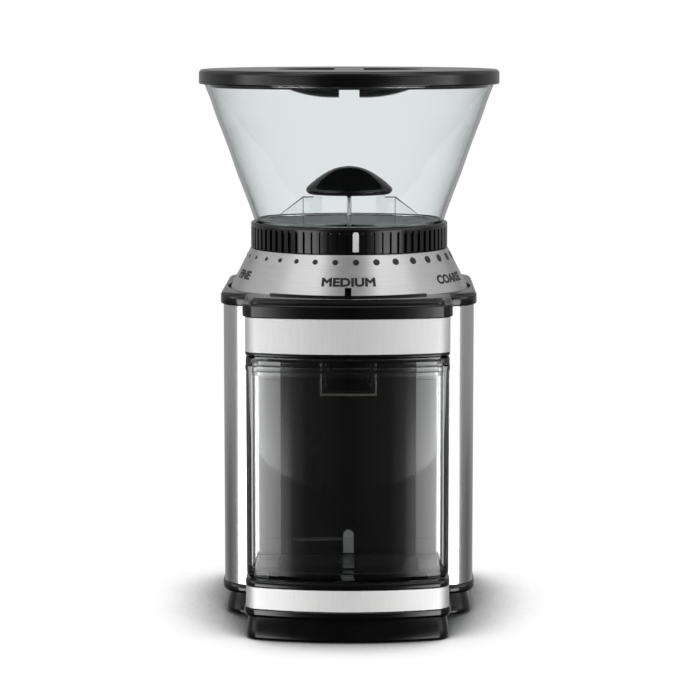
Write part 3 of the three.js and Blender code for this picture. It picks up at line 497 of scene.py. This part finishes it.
def make_base():
    feet = [
        loft(rear_plan, REAR_FOOT),
        loft(front_plan(REAR["front"] + 2), FRONT_FOOT),
    ]
    finish(raw_object("base_foot", combine(*feet)), foot_black, "housing", angle=50)
    edge = [
        (3.2, 11.2), (0.6, 11.2), (-0.25, 11.5), (-0.75, 12.1), (-0.9, 12.9), (-0.9, 15.0), (-0.75, 15.4),
        (-0.4, 15.6),
    ]
    rear = edge + [(1.4, 15.6), (1.4, 21)]
    front = edge[
        :-2] + [(-0.75, 14.8), (-0.4, 15.1), (1.4, 15.1), (1.4, 26.0), (0.3, 26.0), (-0.1, 26.2),
        (-0.2, 26.6),
    ]
    front += [(-0.2, 28.3), (0.0, 28.9), (0.6, 29.3), (3, 29.3)]
    mesh = combine(loft(rear_plan, rear), loft(front_plan(REAR["front"] + 2), front))
    finish(raw_object("base_body", mesh), black, "housing", ["base_tray"])
    under = combine(prism(rear_plan(5), 0.6, 3.8), prism(front_plan(-20)(5), 0.6, 3.8))
    finish(raw_object("underside", under), inner, "housing", ["bottom_cover"], bevel=0.3)
    for i, (x, y) in enumerate([(-30, -72), (30, -72), (-39, 63), (39, 63)]):
        pad = lathe(fillet([(0, 0), (8, 0), (8, 2.2), (0, 2.2)], [0, 0.7, 0, 0]), 48, x, y, closed=False)
        finish(raw_object(f"pad_{i + 1}", pad), rubber, "housing", [f"foot_pad_{i + 1}"])


def make_band(name, node, z0, z1):
    back = REAR["front"] - 1.4
    outer, inside = front_plan(back)(0), front_plan(back)(SHEET)
    outline = [*outer, *reversed(inside)]
    finish(raw_object(name, prism(outline, z0, z1)), steel, "housing", [node], bevel=0.18)


# ---------------------------------------------------------------- rear block
PANEL_HALF = 33.5
COVER_HALF = 38.2


def shell_outline():
    def edge(inset):
        h, f, b = REAR["half"], REAR["front"], REAR["back"]
        rf, rb = REAR["front_radius"], REAR["back_radius"]
        return [
            (PANEL_HALF + 0.2, f + inset),
            *arc(h - rf, f + rf, rf - inset, 270, 360, 16),
            *arc(h - rb, b - rb, rb - inset, 0, 90, 16),
            (COVER_HALF + 0.2, b - inset),
        ]

    return [*edge(0), *reversed(edge(SHEET))]


PLATE = {"y": (32, 58), "z": (47, 129), "knob": 98, "button": 60, "centre": 45}


def make_shells():
    shell = prism(shell_outline(), 15.8, 156.6)
    left = raw_object("shell_left", mirrored(shell))
    finish(left, wrap_steel, "housing", ["side_shell_left"], bevel=0.2)
    right = raw_object("shell_right", shell)
    (y0, y1), (z0, z1) = PLATE["y"], PLATE["z"]
    boolean(right, [block((55, 70), (y0 + 1, y1 - 1), (z0 + 1, z1 - 1))])
    finish(right, wrap_steel, "housing", ["side_shell_right"], bevel=0.2)


def make_rear_cover():
    back = REAR["back"]
    cover = raw_object("back_cover", block((-COVER_HALF, COVER_HALF), (back - 2.4, back), (15.8, 156.6)))
    slots = []
    z = 96.0
    while z <= 141:
        outline = fillet([(-24, z), (24, z), (24, z + 3), (-24, z + 3)], 1.4, 6)
        slots.append(moved(prism(outline, back - 6, back + 6), UPRIGHT))
        z += 7.5
    hole = rod((0, back - 6, 34), (0, back + 6, 34), 6, 40)
    recess = moved(
        prism(fillet([(-30, 54), (30, 54), (30, 84), (-30, 84)], 3, 6), back - 0.7, back + 4), UPRIGHT
    )
    boolean(cover, [*slots, hole, recess])
    finish(cover, black, "housing", ["rear_cover"], bevel=0.35)
    profile = [(3.6, -6), (5.7, -6), (5.7, 0.3), (8.6, 0.3), (8.6, 1.6), (7.6, 2.2), (4.6, 2.2), (3.6, 1.4)]
    gland = lathe(fillet(profile, [0, 0.3, 0, 0.4, 0.4, 0.5, 0.6, 0.4]), 48, 0, 0)
    turn = Matrix.Translation((0, back, 34)) @ Matrix.Rotation(-math.pi / 2, 4, "X")
    finish(raw_object("gland", moved(gland, turn)), rubber, "housing", ["cord_gland"])


def make_bay_panel():
    front = REAR["front"]
    slab = raw_object("bay_back", block((-PANEL_HALF, PANEL_HALF), (front, front + 2.2), (29.6, 137.9)))
    window = block((-11.2, 11.2), (-40, -20), (115.6, 133.6))
    slit = block((-3.1, 3.1), (-40, -20), (31.1, 44.9))
    boolean(slab, [window, slit])
    finish(slab, panel, "housing", ["bay_panel"], bevel=0.4)
    frame_outline = fillet([(-10.6, 116.2), (10.6, 116.2), (10.6, 133), (-10.6, 133)], 1.2)
    hole = fillet([(-9.4, 117.4), (9.4, 117.4), (9.4, 131.8), (-9.4, 131.8)], 0.8)
    spout = raw_object("spout", moved(prism(frame_outline, -33.2, -14.6), UPRIGHT))
    boolean(spout, [moved(prism(hole, -36, -17), UPRIGHT)])
    finish(spout, panel, "housing", ["chute"], bevel=0.25)


def make_top_housing():
    top = 162.9
    section = [(1.4, 150), (1.4, 156.8), (-0.7, 156.8), (-1.2, 157.0), (-1.4, 157.5), (-1.4, 160.9)]
    section += [(-1.4 + 2 * (1 - math.cos(a)), top - 2 + 2 * math.sin(a)) for a in EDGE_TURN]
    shoulder = raw_object("shoulder", loft(rear_plan, section))
    boolean(
        shoulder,
        [
            rod((0, AXIS_Y, 160.2), (0, AXIS_Y, 180), 62.0, 160),
            rod((0, AXIS_Y, 140), (0, AXIS_Y, 180), 45.2, 96),
            block((-PANEL_HALF, PANEL_HALF), (-40, -10), (140, 156.8)),
            prism(rear_plan(4.2), 149, 156.7),
        ],
    )
    finish(shoulder, black, "housing", ["top_housing"], bevel=0.25)


# ---------------------------------------------------------------- head
def make_head():
    back = REAR["front"] - 0.4
    low = [
        (1.2, 138.2), (0.4, 138.3), (0.05, 138.6), (0, 139.0), (0, 139.6), (0.1, 139.8), (1.4, 139.8),
        (1.4, 156.3),
    ]
    finish(
        raw_object("head_lower", loft(front_plan(back), low)), black, "housing",
        ["head_shell"],
    )
    back = REAR["front"] - 1.7
    cap = [
        (1.4, 156.4), (1.4, 156.9), (0.3, 156.9), (0, 157.2), (0, 162.5), (0.1, 162.75), (0.3, 162.95),
        (0.6, 163.0),
    ]
    step = [(2.3, 162), (2.3, 164.5), (2.45, 164.8), (2.8, 164.95)]
    brow = [(3.7, 162), (3.7, 165.3), (3.85, 165.65), (4.3, 165.8)]
    outer, inside, half = 64.4, 60.9, 37
    lip = [
        *arc(0, AXIS_Y, outer, 270 - half, 270 + half, 32),
        *arc(0, AXIS_Y, inside, 270 + half, 270 - half, 32),
    ]
    cutter = [
        rod((0, AXIS_Y, 160.2), (0, AXIS_Y, 190), 62.0, 160),
        rod((0, AXIS_Y, 150), (0, AXIS_Y, 190), 48.9, 96),
    ]
    made = raw_object(
        "head_top", loft(lambda inset: [(x * CAP_FLARE, y) for x, y in front_plan(back)(inset)], cap),
    )
    boolean(made, [loft(front_plan(-74), step), loft(front_plan(-74), brow)], "UNION")
    boolean(made, [prism(front_plan(-60)(6.2), 163.0, 170)])
    boolean(made, [prism(lip, 162, 163.9)], "UNION")
    boolean(made, cutter)
    boolean(made, [block((-1.6, 1.6), (AXIS_Y - 63.9, AXIS_Y - 62.2), (163.5, 167.7))], "UNION")
    finish(made, black, "housing", ["head_cap"], bevel=0.3, angle=40)


# ---------------------------------------------------------------- scale ring
RING = {"low": 160.5, "high": 182.6, "low_radius": 61.5, "high_radius": 50.3}


def ring_point(angle_deg, z, lift=0.0):
    """A point on the scale ring's cone: angle from straight ahead, to the right."""
    fall = (RING["low_radius"] - RING["high_radius"]) / (RING["high"] - RING["low"])
    radius = RING["low_radius"] - (z - RING["low"]) * fall + lift
    a = math.radians(angle_deg - 90)
    return (radius * math.cos(a), AXIS_Y + radius * math.sin(a), z + lift * fall)


def make_dot(index):
    angle = INDEX_DEG + STEP_DEG * (index - 9)
    size = 0.7 + 1.64 * index / 17
    z = 179.1
    radius = 52.1

    def point(i, j):
        t = TURN * i / 24
        across, up = size * math.cos(t), size * math.sin(t)
        reach = angle + math.degrees(across / radius)
        return ring_point(reach, z + up * 0.89, (-0.3, 0.06)[j])

    return grid(24, 2, point, capped=True)


def make_word(text, angle, z, height, width):
    """Printed capitals that follow the cone."""
    curve = bpy.data.curves.new("word", "FONT")
    curve.body = text
    curve.align_x = "CENTER"
    curve.align_y = "CENTER"
    curve.size = 1.0
    curve.resolution_u = 4
    curve.fill_mode = "FRONT"
    curve.bevel_depth = 0.046
    curve.bevel_resolution = 0
    thing = bpy.data.objects.new("word", curve)
    bpy.context.scene.collection.objects.link(thing)
    flat = bpy.data.meshes.new_from_object(thing.evaluated_get(bpy.context.evaluated_depsgraph_get()))
    bpy.data.objects.remove(thing)
    bm = bmesh.new()
    bm.from_mesh(flat)
    bmesh.ops.subdivide_edges(
        bm, edges=[e for e in bm.edges if e.calc_length() > 0.12], cuts=3, use_grid_fill=True,
    )
    bmesh.ops.triangulate(bm, faces=bm.faces)
    xs = [v.co.x for v in bm.verts]
    ys = [v.co.y for v in bm.verts]
    across, tall = max(xs) - min(xs), max(ys) - min(ys)
    middle_x, middle_y = (max(xs) + min(xs)) / 2, (max(ys) + min(ys)) / 2
    verts = []
    for v in bm.verts:
        u = (v.co.x - middle_x) / across * width
        up = (v.co.y - middle_y) / tall * height
        verts.append(ring_point(angle + math.degrees(u / 56.6), z + up, 0.05))
    faces = [tuple(v.index for v in f.verts) for f in bm.faces]
    bm.free()
    return verts, faces


def make_scale():
    low, high = RING["low"], RING["high"]
    profile = [(60.2, low), (61.5, low), (50.3, high), (48.9, high), (48.9, high - 1.1), (49.3, high - 1.1)]
    ring = lathe(fillet(profile, [0, 0.3, 0.5, 0.2, 0, 0]), 192)
    finish(raw_object("ring", ring), ring_steel, "housing", ["scale_ring"])
    dots = combine(*[make_dot(i) for i in range(18)])
    finish(raw_object("scale_dots", dots), ink, "housing")
    words = combine(
        make_word("MEDIUM", 0.2, 169.8, 4.2, 26.6),
        make_word("FINE", -68.5, 170.3, 4.2, 15.2),
        make_word("COARSE", 64, 169.1, 4.4, 26.4),
    )
    finish(raw_object("scale_words", words), ink, "housing")


# ---------------------------------------------------------------- collar and hopper
def make_collar():
    low, high, outer, inside = 183.1, 195.9, 50.1, 46.4
    per_rib, ribs, half_slot = 18, 72, 0.85
    columns = ribs * per_rib
    slot_top = high - 2.2
    heights = [low, low + 0.3]
    heights += [low + 0.3 + (slot_top - 1.3 - low) * k / 8 for k in range(1, 9)]
    heights += [slot_top - 0.75, slot_top - 0.5, slot_top - 0.25, slot_top, high - 1.4]

    def skin(i, z):
        """Radius of the outside: slots with rounded tops, except beside the white mark."""
        rib = i // per_rib
        across = abs((i % per_rib) / per_rib - 0.5) * math.radians(5) * outer
        above = max(0.0, z - slot_top + half_slot)
        reach = math.sqrt(max(0.0, half_slot**2 - above**2))
        depth = min(1.0, max(0.0, (reach - across) / 0.2 + 0.5)) if reach > 0 else 0.0
        return outer - 1.2 * (0.0 if rib == 0 else depth)

    rows = [(None, z) for z in heights]
    rows += [(outer, high - 0.8), (outer - 0.25, high - 0.25), (outer - 0.8, high), (inside, high)]
    rows += [(inside, 193.1), (43, 193.1), (43, 190), (inside, 190), (inside, low)]

    def point(i, j):
        radius, z = rows[j % len(rows)]
        if radius is None:
            radius = skin(i, z)
        share = (i % per_rib) / per_rib - 0.5
        a = math.radians(INDEX_DEG - 90 + 5 * (i // per_rib + share))
        return (radius * math.cos(a), AXIS_Y + radius * math.sin(a), z)

    mesh = grid(columns, len(rows) + 1, point)
    finish(raw_object("collar", mesh), black, "hopper", ["hopper_collar"], angle=50)
    outline = fillet([(-1.5, 184), (1.5, 184), (1.5, 193.9), (-1.5, 193.9)], [0.6, 0.6, 1.3, 1.3])
    mark = moved(prism(outline, -50.45, -48.9), UPRIGHT)
    turn = Matrix.Translation((0, AXIS_Y, 0)) @ Matrix.Rotation(math.radians(INDEX_DEG), 4, "Z")
    finish(raw_object("mark", moved(mark, turn)), white, "hopper", ["index_mark"], bevel=0.2)


WALL = [
    (
        48.3, 196.6), (49.6, 200.3), (51, 204.4), (54.1, 212.6), (57.2, 220.8), (61.4, 233), (64.4,
        241.1), (67.5, 249.2,
    ),
    (70.2, 257.3), (72.6, 263.4), (73.4, 265.8), (73.4, 269.9),
]


def make_hopper():
    outer = smooth_curve(WALL, 5)
    inside = [(r - 2.0, z + 0.3) for r, z in outer]
    inside[-1] = (inside[-1][0], 269.9)
    inside[0] = (46.0, 196.6)
    profile = [(44, 193.6), (46, 193.6), (46, 196.0), *outer, *reversed(inside), (44, 196.0)]
    hopper = raw_object("hopper", lathe(profile, 160))
    finish(hopper, hopper_clear, "hopper", ["hopper_cone"], angle=40)
    floor = [
        (16, 189), (17, 189), (43, 193.4), (43.7, 193.4), (43.7, 195.9), (43, 195.8), (17, 191.2),
        (16, 191.2),
    ]
    dish = lathe(floor, 128)
    outline = [(16.6, 191), (40.3, 195.5), (23.5, 208.3), (18.2, 208.3), (18.2, 209.4), (15.8, 209.4)]
    outline += [(15.8, 208.3), (13.8, 208.3), (13.8, 193.5)]
    fin = moved(prism(outline, AXIS_Y - 0.7, AXIS_Y + 0.7), UPRIGHT)
    finish(
        raw_object("fins", combine(fin, mirrored(fin))), hopper_clear, "hopper",
        bevel=0.12,
    )
    # Painted shade: thin dark tubes along the fin edges and down inside each fin draw the outlines that the
    # clear fins show.
    border = tube([(x, AXIS_Y, z) for x, z in outline[:4]], 0.32, 10)
    inner_line = tube([(23.5, AXIS_Y, 208.0), (23.5, AXIS_Y, 192.6)], 0.25, 10)
    both = combine(border, inner_line, mirrored(border), mirrored(inner_line))
    finish(raw_object("fin_edges", both), fin_edge_painted_shade, "hopper")
    # The dish wears the pale painted-light colour in place of the clear floor's see-through brightness.
    finish(raw_object("hopper_dish", dish), dish_painted_light, "hopper", ["hopper_floor"], angle=40)


def make_guard():
    dome = smooth_curve(
        [(0, 224.2), (5.6, 223.4), (10.1, 221.7), (14.8, 218.9), (18.5, 216.1), (21.2, 213.7), (21.95, 212.5),
         (21.9, 211.4), (21.1, 210.4)],
        4,
    )
    dome += [(20.6, 210.1), (20.1, 210.1), (19.7, 210.5)]
    inside = [(19.3, 212.3), (17.2, 214.4), (13.6, 217.2), (9.3, 219.8), (5.2, 221.4), (0, 222.2)]
    mesh = lathe(dome + inside, 96, closed=False)
    finish(raw_object("guard", mesh), black, "hopper", ["bean_guard"], angle=60)


def make_handle():
    pivot, half, top, bend = 189, 11.3, 213, 5
    side = [(0, AXIS_Y - half, z) for z in (pivot - 1, 195, 202)]
    corner = [(0, AXIS_Y + y, z) for y, z in arc(-half + bend, top - bend, bend, 180, 90, 8)]
    first = side + corner
    second = [(x, 2 * AXIS_Y - y, z) for x, y, z in reversed(first)]
    bail = tube(first + second, 1.05)
    stubs = rod((0, AXIS_Y - 15, pivot), (0, AXIS_Y - half + 0.5, pivot), 1.05, 16)
    other = rod((0, AXIS_Y + half - 0.5, pivot), (0, AXIS_Y + 15, pivot), 1.05, 16)
    mesh = combine(bail, stubs, other)
    finish(raw_object("wire_handle", mesh), wire, "handle", ["burr_handle"])


def make_lid():
    top = LID_TOP
    body = [
        (0, 270.2), (73.9, 270.2), (73.9, 265.7), (75.9, 265.7), (LID_RADIUS, 266.1),
        (LID_RADIUS, top - 2.2),
    ]
    body += [(LID_RADIUS - 2 * (1 - math.cos(a)), top - 2 + 2 * math.sin(a)) for a in EDGE_TURN]
    body += [(70, top), (0, top)]
    lid = raw_object("lid", lathe(body, 192, closed=False))
    seal = lathe(fillet([(68.7, 264.5), (70.5, 264.5), (70.5, 269.9), (68.7, 269.9)], 0.4, 3), 128)
    finish(raw_object("seal", seal), rubber, "lid", ["lid_seal"])

    def scoop(a, b, c, edge):
        rows = 24
        ball = lathe(
            [(math.sin(math.pi * j / rows), -math.cos(math.pi * j / rows)) for j in range(rows + 1)],
            64, 0, 0, closed=False,
        )
        placed = Matrix.Translation((7.4, AXIS_Y, top - 1)) @ Matrix.Diagonal((a, b, c, 1))
        bowl = raw_object("bowl", moved(ball, placed))
        boolean(bowl, [block((edge, 60), (-60, 90), (240, top + 20))], "INTERSECT")
        mesh = (
            [tuple(v.co / MM) for v in bowl.data.vertices], [tuple(p.vertices) for p in bowl.data.polygons],
        )
        bpy.data.objects.remove(bowl)
        return mesh

    outer = scoop(32, 26, 13.2, 5.2)
    kept = raw_object("kept", outer)
    boolean(kept, [block((-80, 80), (-80, 95), (240, top - 1.5))], "INTERSECT")
    outer = ([tuple(v.co / MM) for v in kept.data.vertices], [tuple(p.vertices) for p in kept.data.polygons])
    bpy.data.objects.remove(kept)
    bowl = scoop(30.2, 24.2, 11.4, 7.4)
    boolean(lid, [outer, mirrored(outer)], "UNION")
    boolean(lid, [bowl, mirrored(bowl)])
    finish(lid, black, "lid", ["hopper_lid"], bevel=0.35, angle=40)


# ---------------------------------------------------------------- grounds container
def make_container():
    low, rim, floor = 29.7, 133.5, 32.8
    wall = 2.8
    section = [
        (3.0, low), (1.6, low + 0.35), (0.8, low + 1.1), (0.4, low + 2.4), (0.4, rim - 2.6),
        (0.1, rim - 2.5),
    ]
    section += [
        (0, rim - 2.3), (0, rim - 0.2), (0.2, rim), (wall - 0.2, rim), (wall, rim - 0.2),
        (wall, floor + 3.2),
    ]
    section += [
        (wall + 0.15, floor + 2.1), (wall + 0.5, floor + 1.1), (wall + 1.1, floor + 0.4),
        (wall + 1.9, floor),
    ]
    body = raw_object("container", loft(container_plan, section))
    ledge = block((-43, 43), (-35, -32.6), (31, 40.7))
    frame_block = block((-14, 14), (-35.8, -32.4), (112.7, 127.6), 1)
    window = block((-11.2, 11.2), (-40, -30), (115.5, rim + 1))
    boolean(body, [block((-43, 43), (-36, -30), (120.7, rim + 1))])
    boolean(body, [ledge, frame_block], "UNION")
    boolean(body, [window])
    border = [
        (-14, 127), (-14, 112.7), (14, 112.7), (14, 127), (13.1, 127), (13.1, 113.9), (-13.1, 113.9),
        (-13.1, 127),
    ]
    border = raw_object("window_border", moved(prism(border, -36.2, -35.4), UPRIGHT))
    finish(border, edge_clear, "container", bevel=0.2)
    finish(body, smoked, "container", ["container_body"], bevel=0.25, angle=38)
    high = 137.6
    skin = [(2.2, 133.8), (0.4, 133.8), (0.2, 134.0), (0.2, 136.6), (0.4, 137.3), (1.0, high)]
    lid = raw_object("container_cover", loft(container_plan, skin))
    plug = loft(container_plan, [(3.3, 128.7), (3.3, 134.2)])
    boolean(lid, [plug], "UNION")
    boolean(lid, [prism(container_plan(4.9), 120, 135.4), prism(container_plan(2.0), 133, 133.81)])
    boolean(lid, [block((-14.6, 14.6), (-40, -30), (120, 134))])
    finish(lid, smoked, "container", ["container_lid"], bevel=0.2, angle=38)


# ---------------------------------------------------------------- controls
def make_controls():
    half = REAR["half"]
    across = Matrix(((0, 0, 1), (1, 0, 0), (0, 1, 0)))
    (y0, y1), (z0, z1) = PLATE["y"], PLATE["z"]
    centre, knob_z, button_z = PLATE["centre"], PLATE["knob"], PLATE["button"]

    def oblong(wide, tall, radius):
        corners = [(-wide, -tall), (wide, -tall), (wide, tall), (-wide, tall)]
        return fillet([(centre + y, knob_z + z) for y, z in corners], radius, 8)

    outline = fillet([(y0, z0), (y1, z0), (y1, z1), (y0, z1)], 3.5, 8)
    plate = raw_object("control_face", moved(prism(outline, 59.6, half + 1), across))
    recess = moved(prism(oblong(7.5, 23.5, 2.5), 61, 70), across)
    slot = moved(prism(oblong(1.3, 22, 1.25), 55, 70), across)
    hole = rod((55, centre, button_z), (70, centre, button_z), 7, 48)
    boolean(plate, [recess, slot, hole])
    finish(plate, black, "housing", ["control_plate"], bevel=0.3)
    ticks = []
    for i in range(8):
        z = knob_z - 17.5 + 5 * i
        size = 0.35 + 0.11 * i
        ticks.append(rod((half + 0.95, y0 + 3, z), (half + 1.03, y0 + 3, z), size, 20))
    finish(raw_object("cup_dots", combine(*ticks)), white, "housing")
    outline = fillet([(-6, -4), (6, -4), (6, 4), (-6, 4)], 1.2, 4)

    def plan(inset):
        return [(a * (1 - inset / 8), b * (1 - inset / 5)) for a, b in outline]

    body = loft(plan, [(0, 0), (0.1, 0.4), (0.8, 2.9), (1.3, 3.4), (2.0, 3.6)])
    body = moved(body, Matrix.Translation((61.3, centre, knob_z)) @ across.to_4x4())
    stem = block((59.2, 62), (centre - 0.8, centre + 0.8), (knob_z - 2.4, knob_z + 2.4))
    finish(
        raw_object("cup_knob", combine(body, stem)), black, "cup_slide", ["slide_knob"],
        bevel=0.2,
    )
    profile = [
        (0, 58.3), (8, 58.3), (8, 59.2), (6.5, 59.2), (6.5, half + 1.2), (5.9, half + 1.8), (3, half + 2),
        (0, half + 1.8),
    ]
    button = lathe(fillet(profile, [0, 0, 0, 0, 0.6, 0.4, 0, 0]), 64, 0, 0, closed=False)
    turn = Matrix.Translation((0, centre, button_z)) @ Matrix.Rotation(math.pi / 2, 4, "Y")
    finish(raw_object("button", moved(button, turn)), black, "button", ["start_button"])


def make_interlock():
    outline = [(-2.6, 31.6), (2.6, 31.6), *arc(0, 41.8, 2.6, 0, 180, 16)]
    tab = moved(prism(outline, -31.05, -25), UPRIGHT)
    stem = block((-2.6, 2.6), (-26, -17.5), (33.6, 41.4))
    finish(
        raw_object("interlock_tab", combine(tab, stem)), grey, "plunger",
        ["interlock_plunger"], bevel=0.3,
    )


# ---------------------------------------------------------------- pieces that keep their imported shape
INNER_FINISH = {
    "inner_plastic": inner,
    "bare_steel": bare,
    "hardened_steel": bare,
    "gear_nylon": nylon,
    "brass": brass,
    "circuit_board": board,
    "rubber": rubber,
    "wire": wire,
    "gloss_black": black,
    "grey_plastic": grey,
}


def dress_inner():
    slots = {entry["node"]: entry["material_slot"] for entry in frame["record"]["subparts"]}
    for node, thing in frame["nodes"].items():
        material = INNER_FINISH.get(slots[node])
        if material:
            thing.data.materials.clear()
            thing.data.materials.append(material)


# ---------------------------------------------------------------- studio
def make_world():
    """White where it is seen directly; in reflections, a dark studio with softboxes on both front sides."""
    world = bpy.data.worlds.new("studio")
    bpy.context.scene.world = world
    world.use_nodes = True
    nodes, link = world.node_tree.nodes, world.node_tree.links.new
    background = nodes["Background"]
    place = nodes.new("ShaderNodeTexCoord")
    split = nodes.new("ShaderNodeSeparateXYZ")
    link(place.outputs["Generated"], split.inputs["Vector"])

    def maths(operation, a, b=0.0):
        made = nodes.new("ShaderNodeMath")
        made.operation = operation
        for i, value in enumerate((a, b)):
            if isinstance(value, (int, float)):
                made.inputs[i].default_value = value
            else:
                link(value, made.inputs[i])
        return made.outputs[0]

    def lobe(source, low, high):
        ranged = nodes.new("ShaderNodeMapRange")
        ranged.interpolation_type = "SMOOTHSTEP"
        ranged.inputs["From Min"].default_value = low
        ranged.inputs["From Max"].default_value = high
        link(source, ranged.inputs["Value"])
        return ranged.outputs["Result"]

    def ramp(source, stops):
        made = nodes.new("ShaderNodeValToRGB")
        elements = made.color_ramp.elements
        while len(elements) < len(stops):
            elements.new(0.5)
        for element, (position, value) in zip(elements, stops):
            element.position = position
            element.color = (value, value, value, 1)
        link(source, made.inputs["Fac"])
        return made.outputs["Color"]

    forward = maths("MULTIPLY", split.outputs["Y"], -1.0)
    turn = maths("DIVIDE", maths("ABSOLUTE", maths("ARCTAN2", split.outputs["X"], forward)), math.pi)

    def around(stops):
        """Brightness by the angle away from straight ahead, in degrees."""
        return ramp(turn, [(angle / 180, value / SOFTBOX) for angle, value in stops])

    def blend(low, high, share):
        kept = maths("MULTIPLY", low, maths("SUBTRACT", 1.0, share))
        return maths("ADD", kept, maths("MULTIPLY", high, share))

    height = split.outputs["Z"]
    low = around(
        [
            (0, 0.03), (18, 0.1), (24, 0.4), (30, 2.4), (38, 5.6), (60, 5.6), (66, 0.3),
            (110, 0.12), (160, 0.4),
        ]
    )
    below = around(
        [
            (0, 0.03), (18, 0.1), (24, 0.27), (29, 0.65), (34, 1.6), (39, 3.2), (60, 3.5),
            (66, 0.3), (160, 0.4),
        ]
    )
    level = around(
        [
            (0, 0.03), (20, 0.05), (38, 0.12), (55, 0.4), (70, 1.8), (82, 2.4), (90, 1.4),
            (98, 0.4), (158, 0.35),
        ]
    )
    upper = around(
        [
            (0, 0.12), (16, 0.18), (26, 0.5), (37, 1.15), (72, 1.15), (80, 0.65), (125, 0.6),
            (145, 0.3), (160, 0.4),
        ]
    )
    sides = blend(low, below, lobe(height, -0.18, -0.13))
    sides = blend(sides, level, lobe(height, -0.065, -0.035))
    sides = blend(sides, upper, lobe(height, 0.08, 0.2))
    sides = blend(sides, CEILING / SOFTBOX, lobe(height, 0.75, 0.9))
    sides = blend(FLOOR_LIGHT / SOFTBOX, sides, lobe(height, -0.55, -0.4))
    studio = maths("MULTIPLY", sides, SOFTBOX)
    path = nodes.new("ShaderNodeLightPath")
    other_bounces = maths("SUBTRACT", path.outputs["Ray Depth"], path.outputs["Transmission Depth"])
    through = maths("MULTIPLY", path.outputs["Is Transmission Ray"], maths("LESS_THAN", other_bounces, 1.5))
    seen = maths("MAXIMUM", path.outputs["Is Camera Ray"], through)
    background.inputs["Color"].default_value = (1, 1, 1, 1)
    link(blend(studio, 1.0, seen), background.inputs["Strength"])


def area(name, place, target, size, power):
    lamp = bpy.data.lights.new(name, "AREA")
    lamp.shape = "RECTANGLE"
    lamp.size, lamp.size_y = size
    lamp.energy = power
    thing = bpy.data.objects.new(name, lamp)
    thing.location = place
    thing.rotation_euler = (Vector(target) - Vector(place)).to_track_quat("-Z", "Y").to_euler()
    bpy.context.scene.collection.objects.link(thing)


SOFTBOX = 5.6
CEILING = 0.18
FLOOR_LIGHT = 0.03


def make_floor_material():
    """Pale and plain, and darker only close round the feet, where a painted soft shadow dims its glow."""
    material = bpy.data.materials.new("floor")
    material.use_nodes = True
    nodes, link = material.node_tree.nodes, material.node_tree.links.new
    # Painted shadow: ambient occlusion dims the floor's glow where the model stands close by; no lamp casts
    # it.
    openness = nodes.new("ShaderNodeAmbientOcclusion")
    openness.samples = 12
    openness.inputs["Distance"].default_value = 0.08
    glow = nodes.new("ShaderNodeEmission")
    painted_shadow_tone = spread(material, openness.outputs["AO"], (0.018, 0.02, 0.022), (1.02, 1.02, 1.02), 0.48, 0.77)
    link(painted_shadow_tone, glow.inputs["Color"])
    path = nodes.new("ShaderNodeLightPath")
    other_bounces = nodes.new("ShaderNodeMath")
    other_bounces.operation = "SUBTRACT"
    link(path.outputs["Ray Depth"], other_bounces.inputs[0])
    link(path.outputs["Transmission Depth"], other_bounces.inputs[1])
    seen = nodes.new("ShaderNodeMath")
    seen.operation = "LESS_THAN"
    seen.inputs[1].default_value = 0.5
    link(other_bounces.outputs[0], seen.inputs[0])
    strength = spread(material, seen.outputs[0], FLOOR_LIGHT, 1.0, 0.0, 1.0)
    link(strength, glow.inputs["Strength"])
    link(glow.outputs["Emission"], nodes["Material Output"].inputs["Surface"])
    return material


def make_studio():
    floor = raw_object("floor", grid(2, 2, lambda i, j: ((-600, 600)[i], (-500, 800)[j], 0), wrap=False))
    floor.data.materials.append(make_floor_material())
    floor.visible_glossy = False
    floor.visible_diffuse = False
    make_world()
    area("overhead", (0, -0.15, 1.35), (0, 0, 0.13), (1.2, 1.0), 6)
    bpy.context.scene.view_settings.view_transform = "Standard"


# Focal length in millimetres, place in metres, and turns in radians.
CAMERA = {"lens": 136.486, "place": (0.012, -1.3393, 0.2977), "down": 0.12375, "left": 0.00856}


def make_camera():
    camera = bpy.data.cameras.new("camera")
    camera.sensor_width = 36
    camera.lens = CAMERA["lens"]
    thing = bpy.data.objects.new("camera", camera)
    thing.location = CAMERA["place"]
    thing.rotation_euler = (math.pi / 2 - CAMERA["down"], 0, CAMERA["left"])
    bpy.context.scene.collection.objects.link(thing)
    bpy.context.scene.camera = thing


make_camera()
make_base()
make_band("band_low", "lower_front_band", 15.3, 25.9)
make_band("band_high", "upper_front_band", 139.9, 156.8)
make_shells()
make_rear_cover()
make_bay_panel()
make_top_housing()
make_head()
make_scale()
make_collar()
make_hopper()
make_guard()
make_handle()
make_lid()
make_container()
make_controls()
make_interlock()
dress_inner()
make_studio()
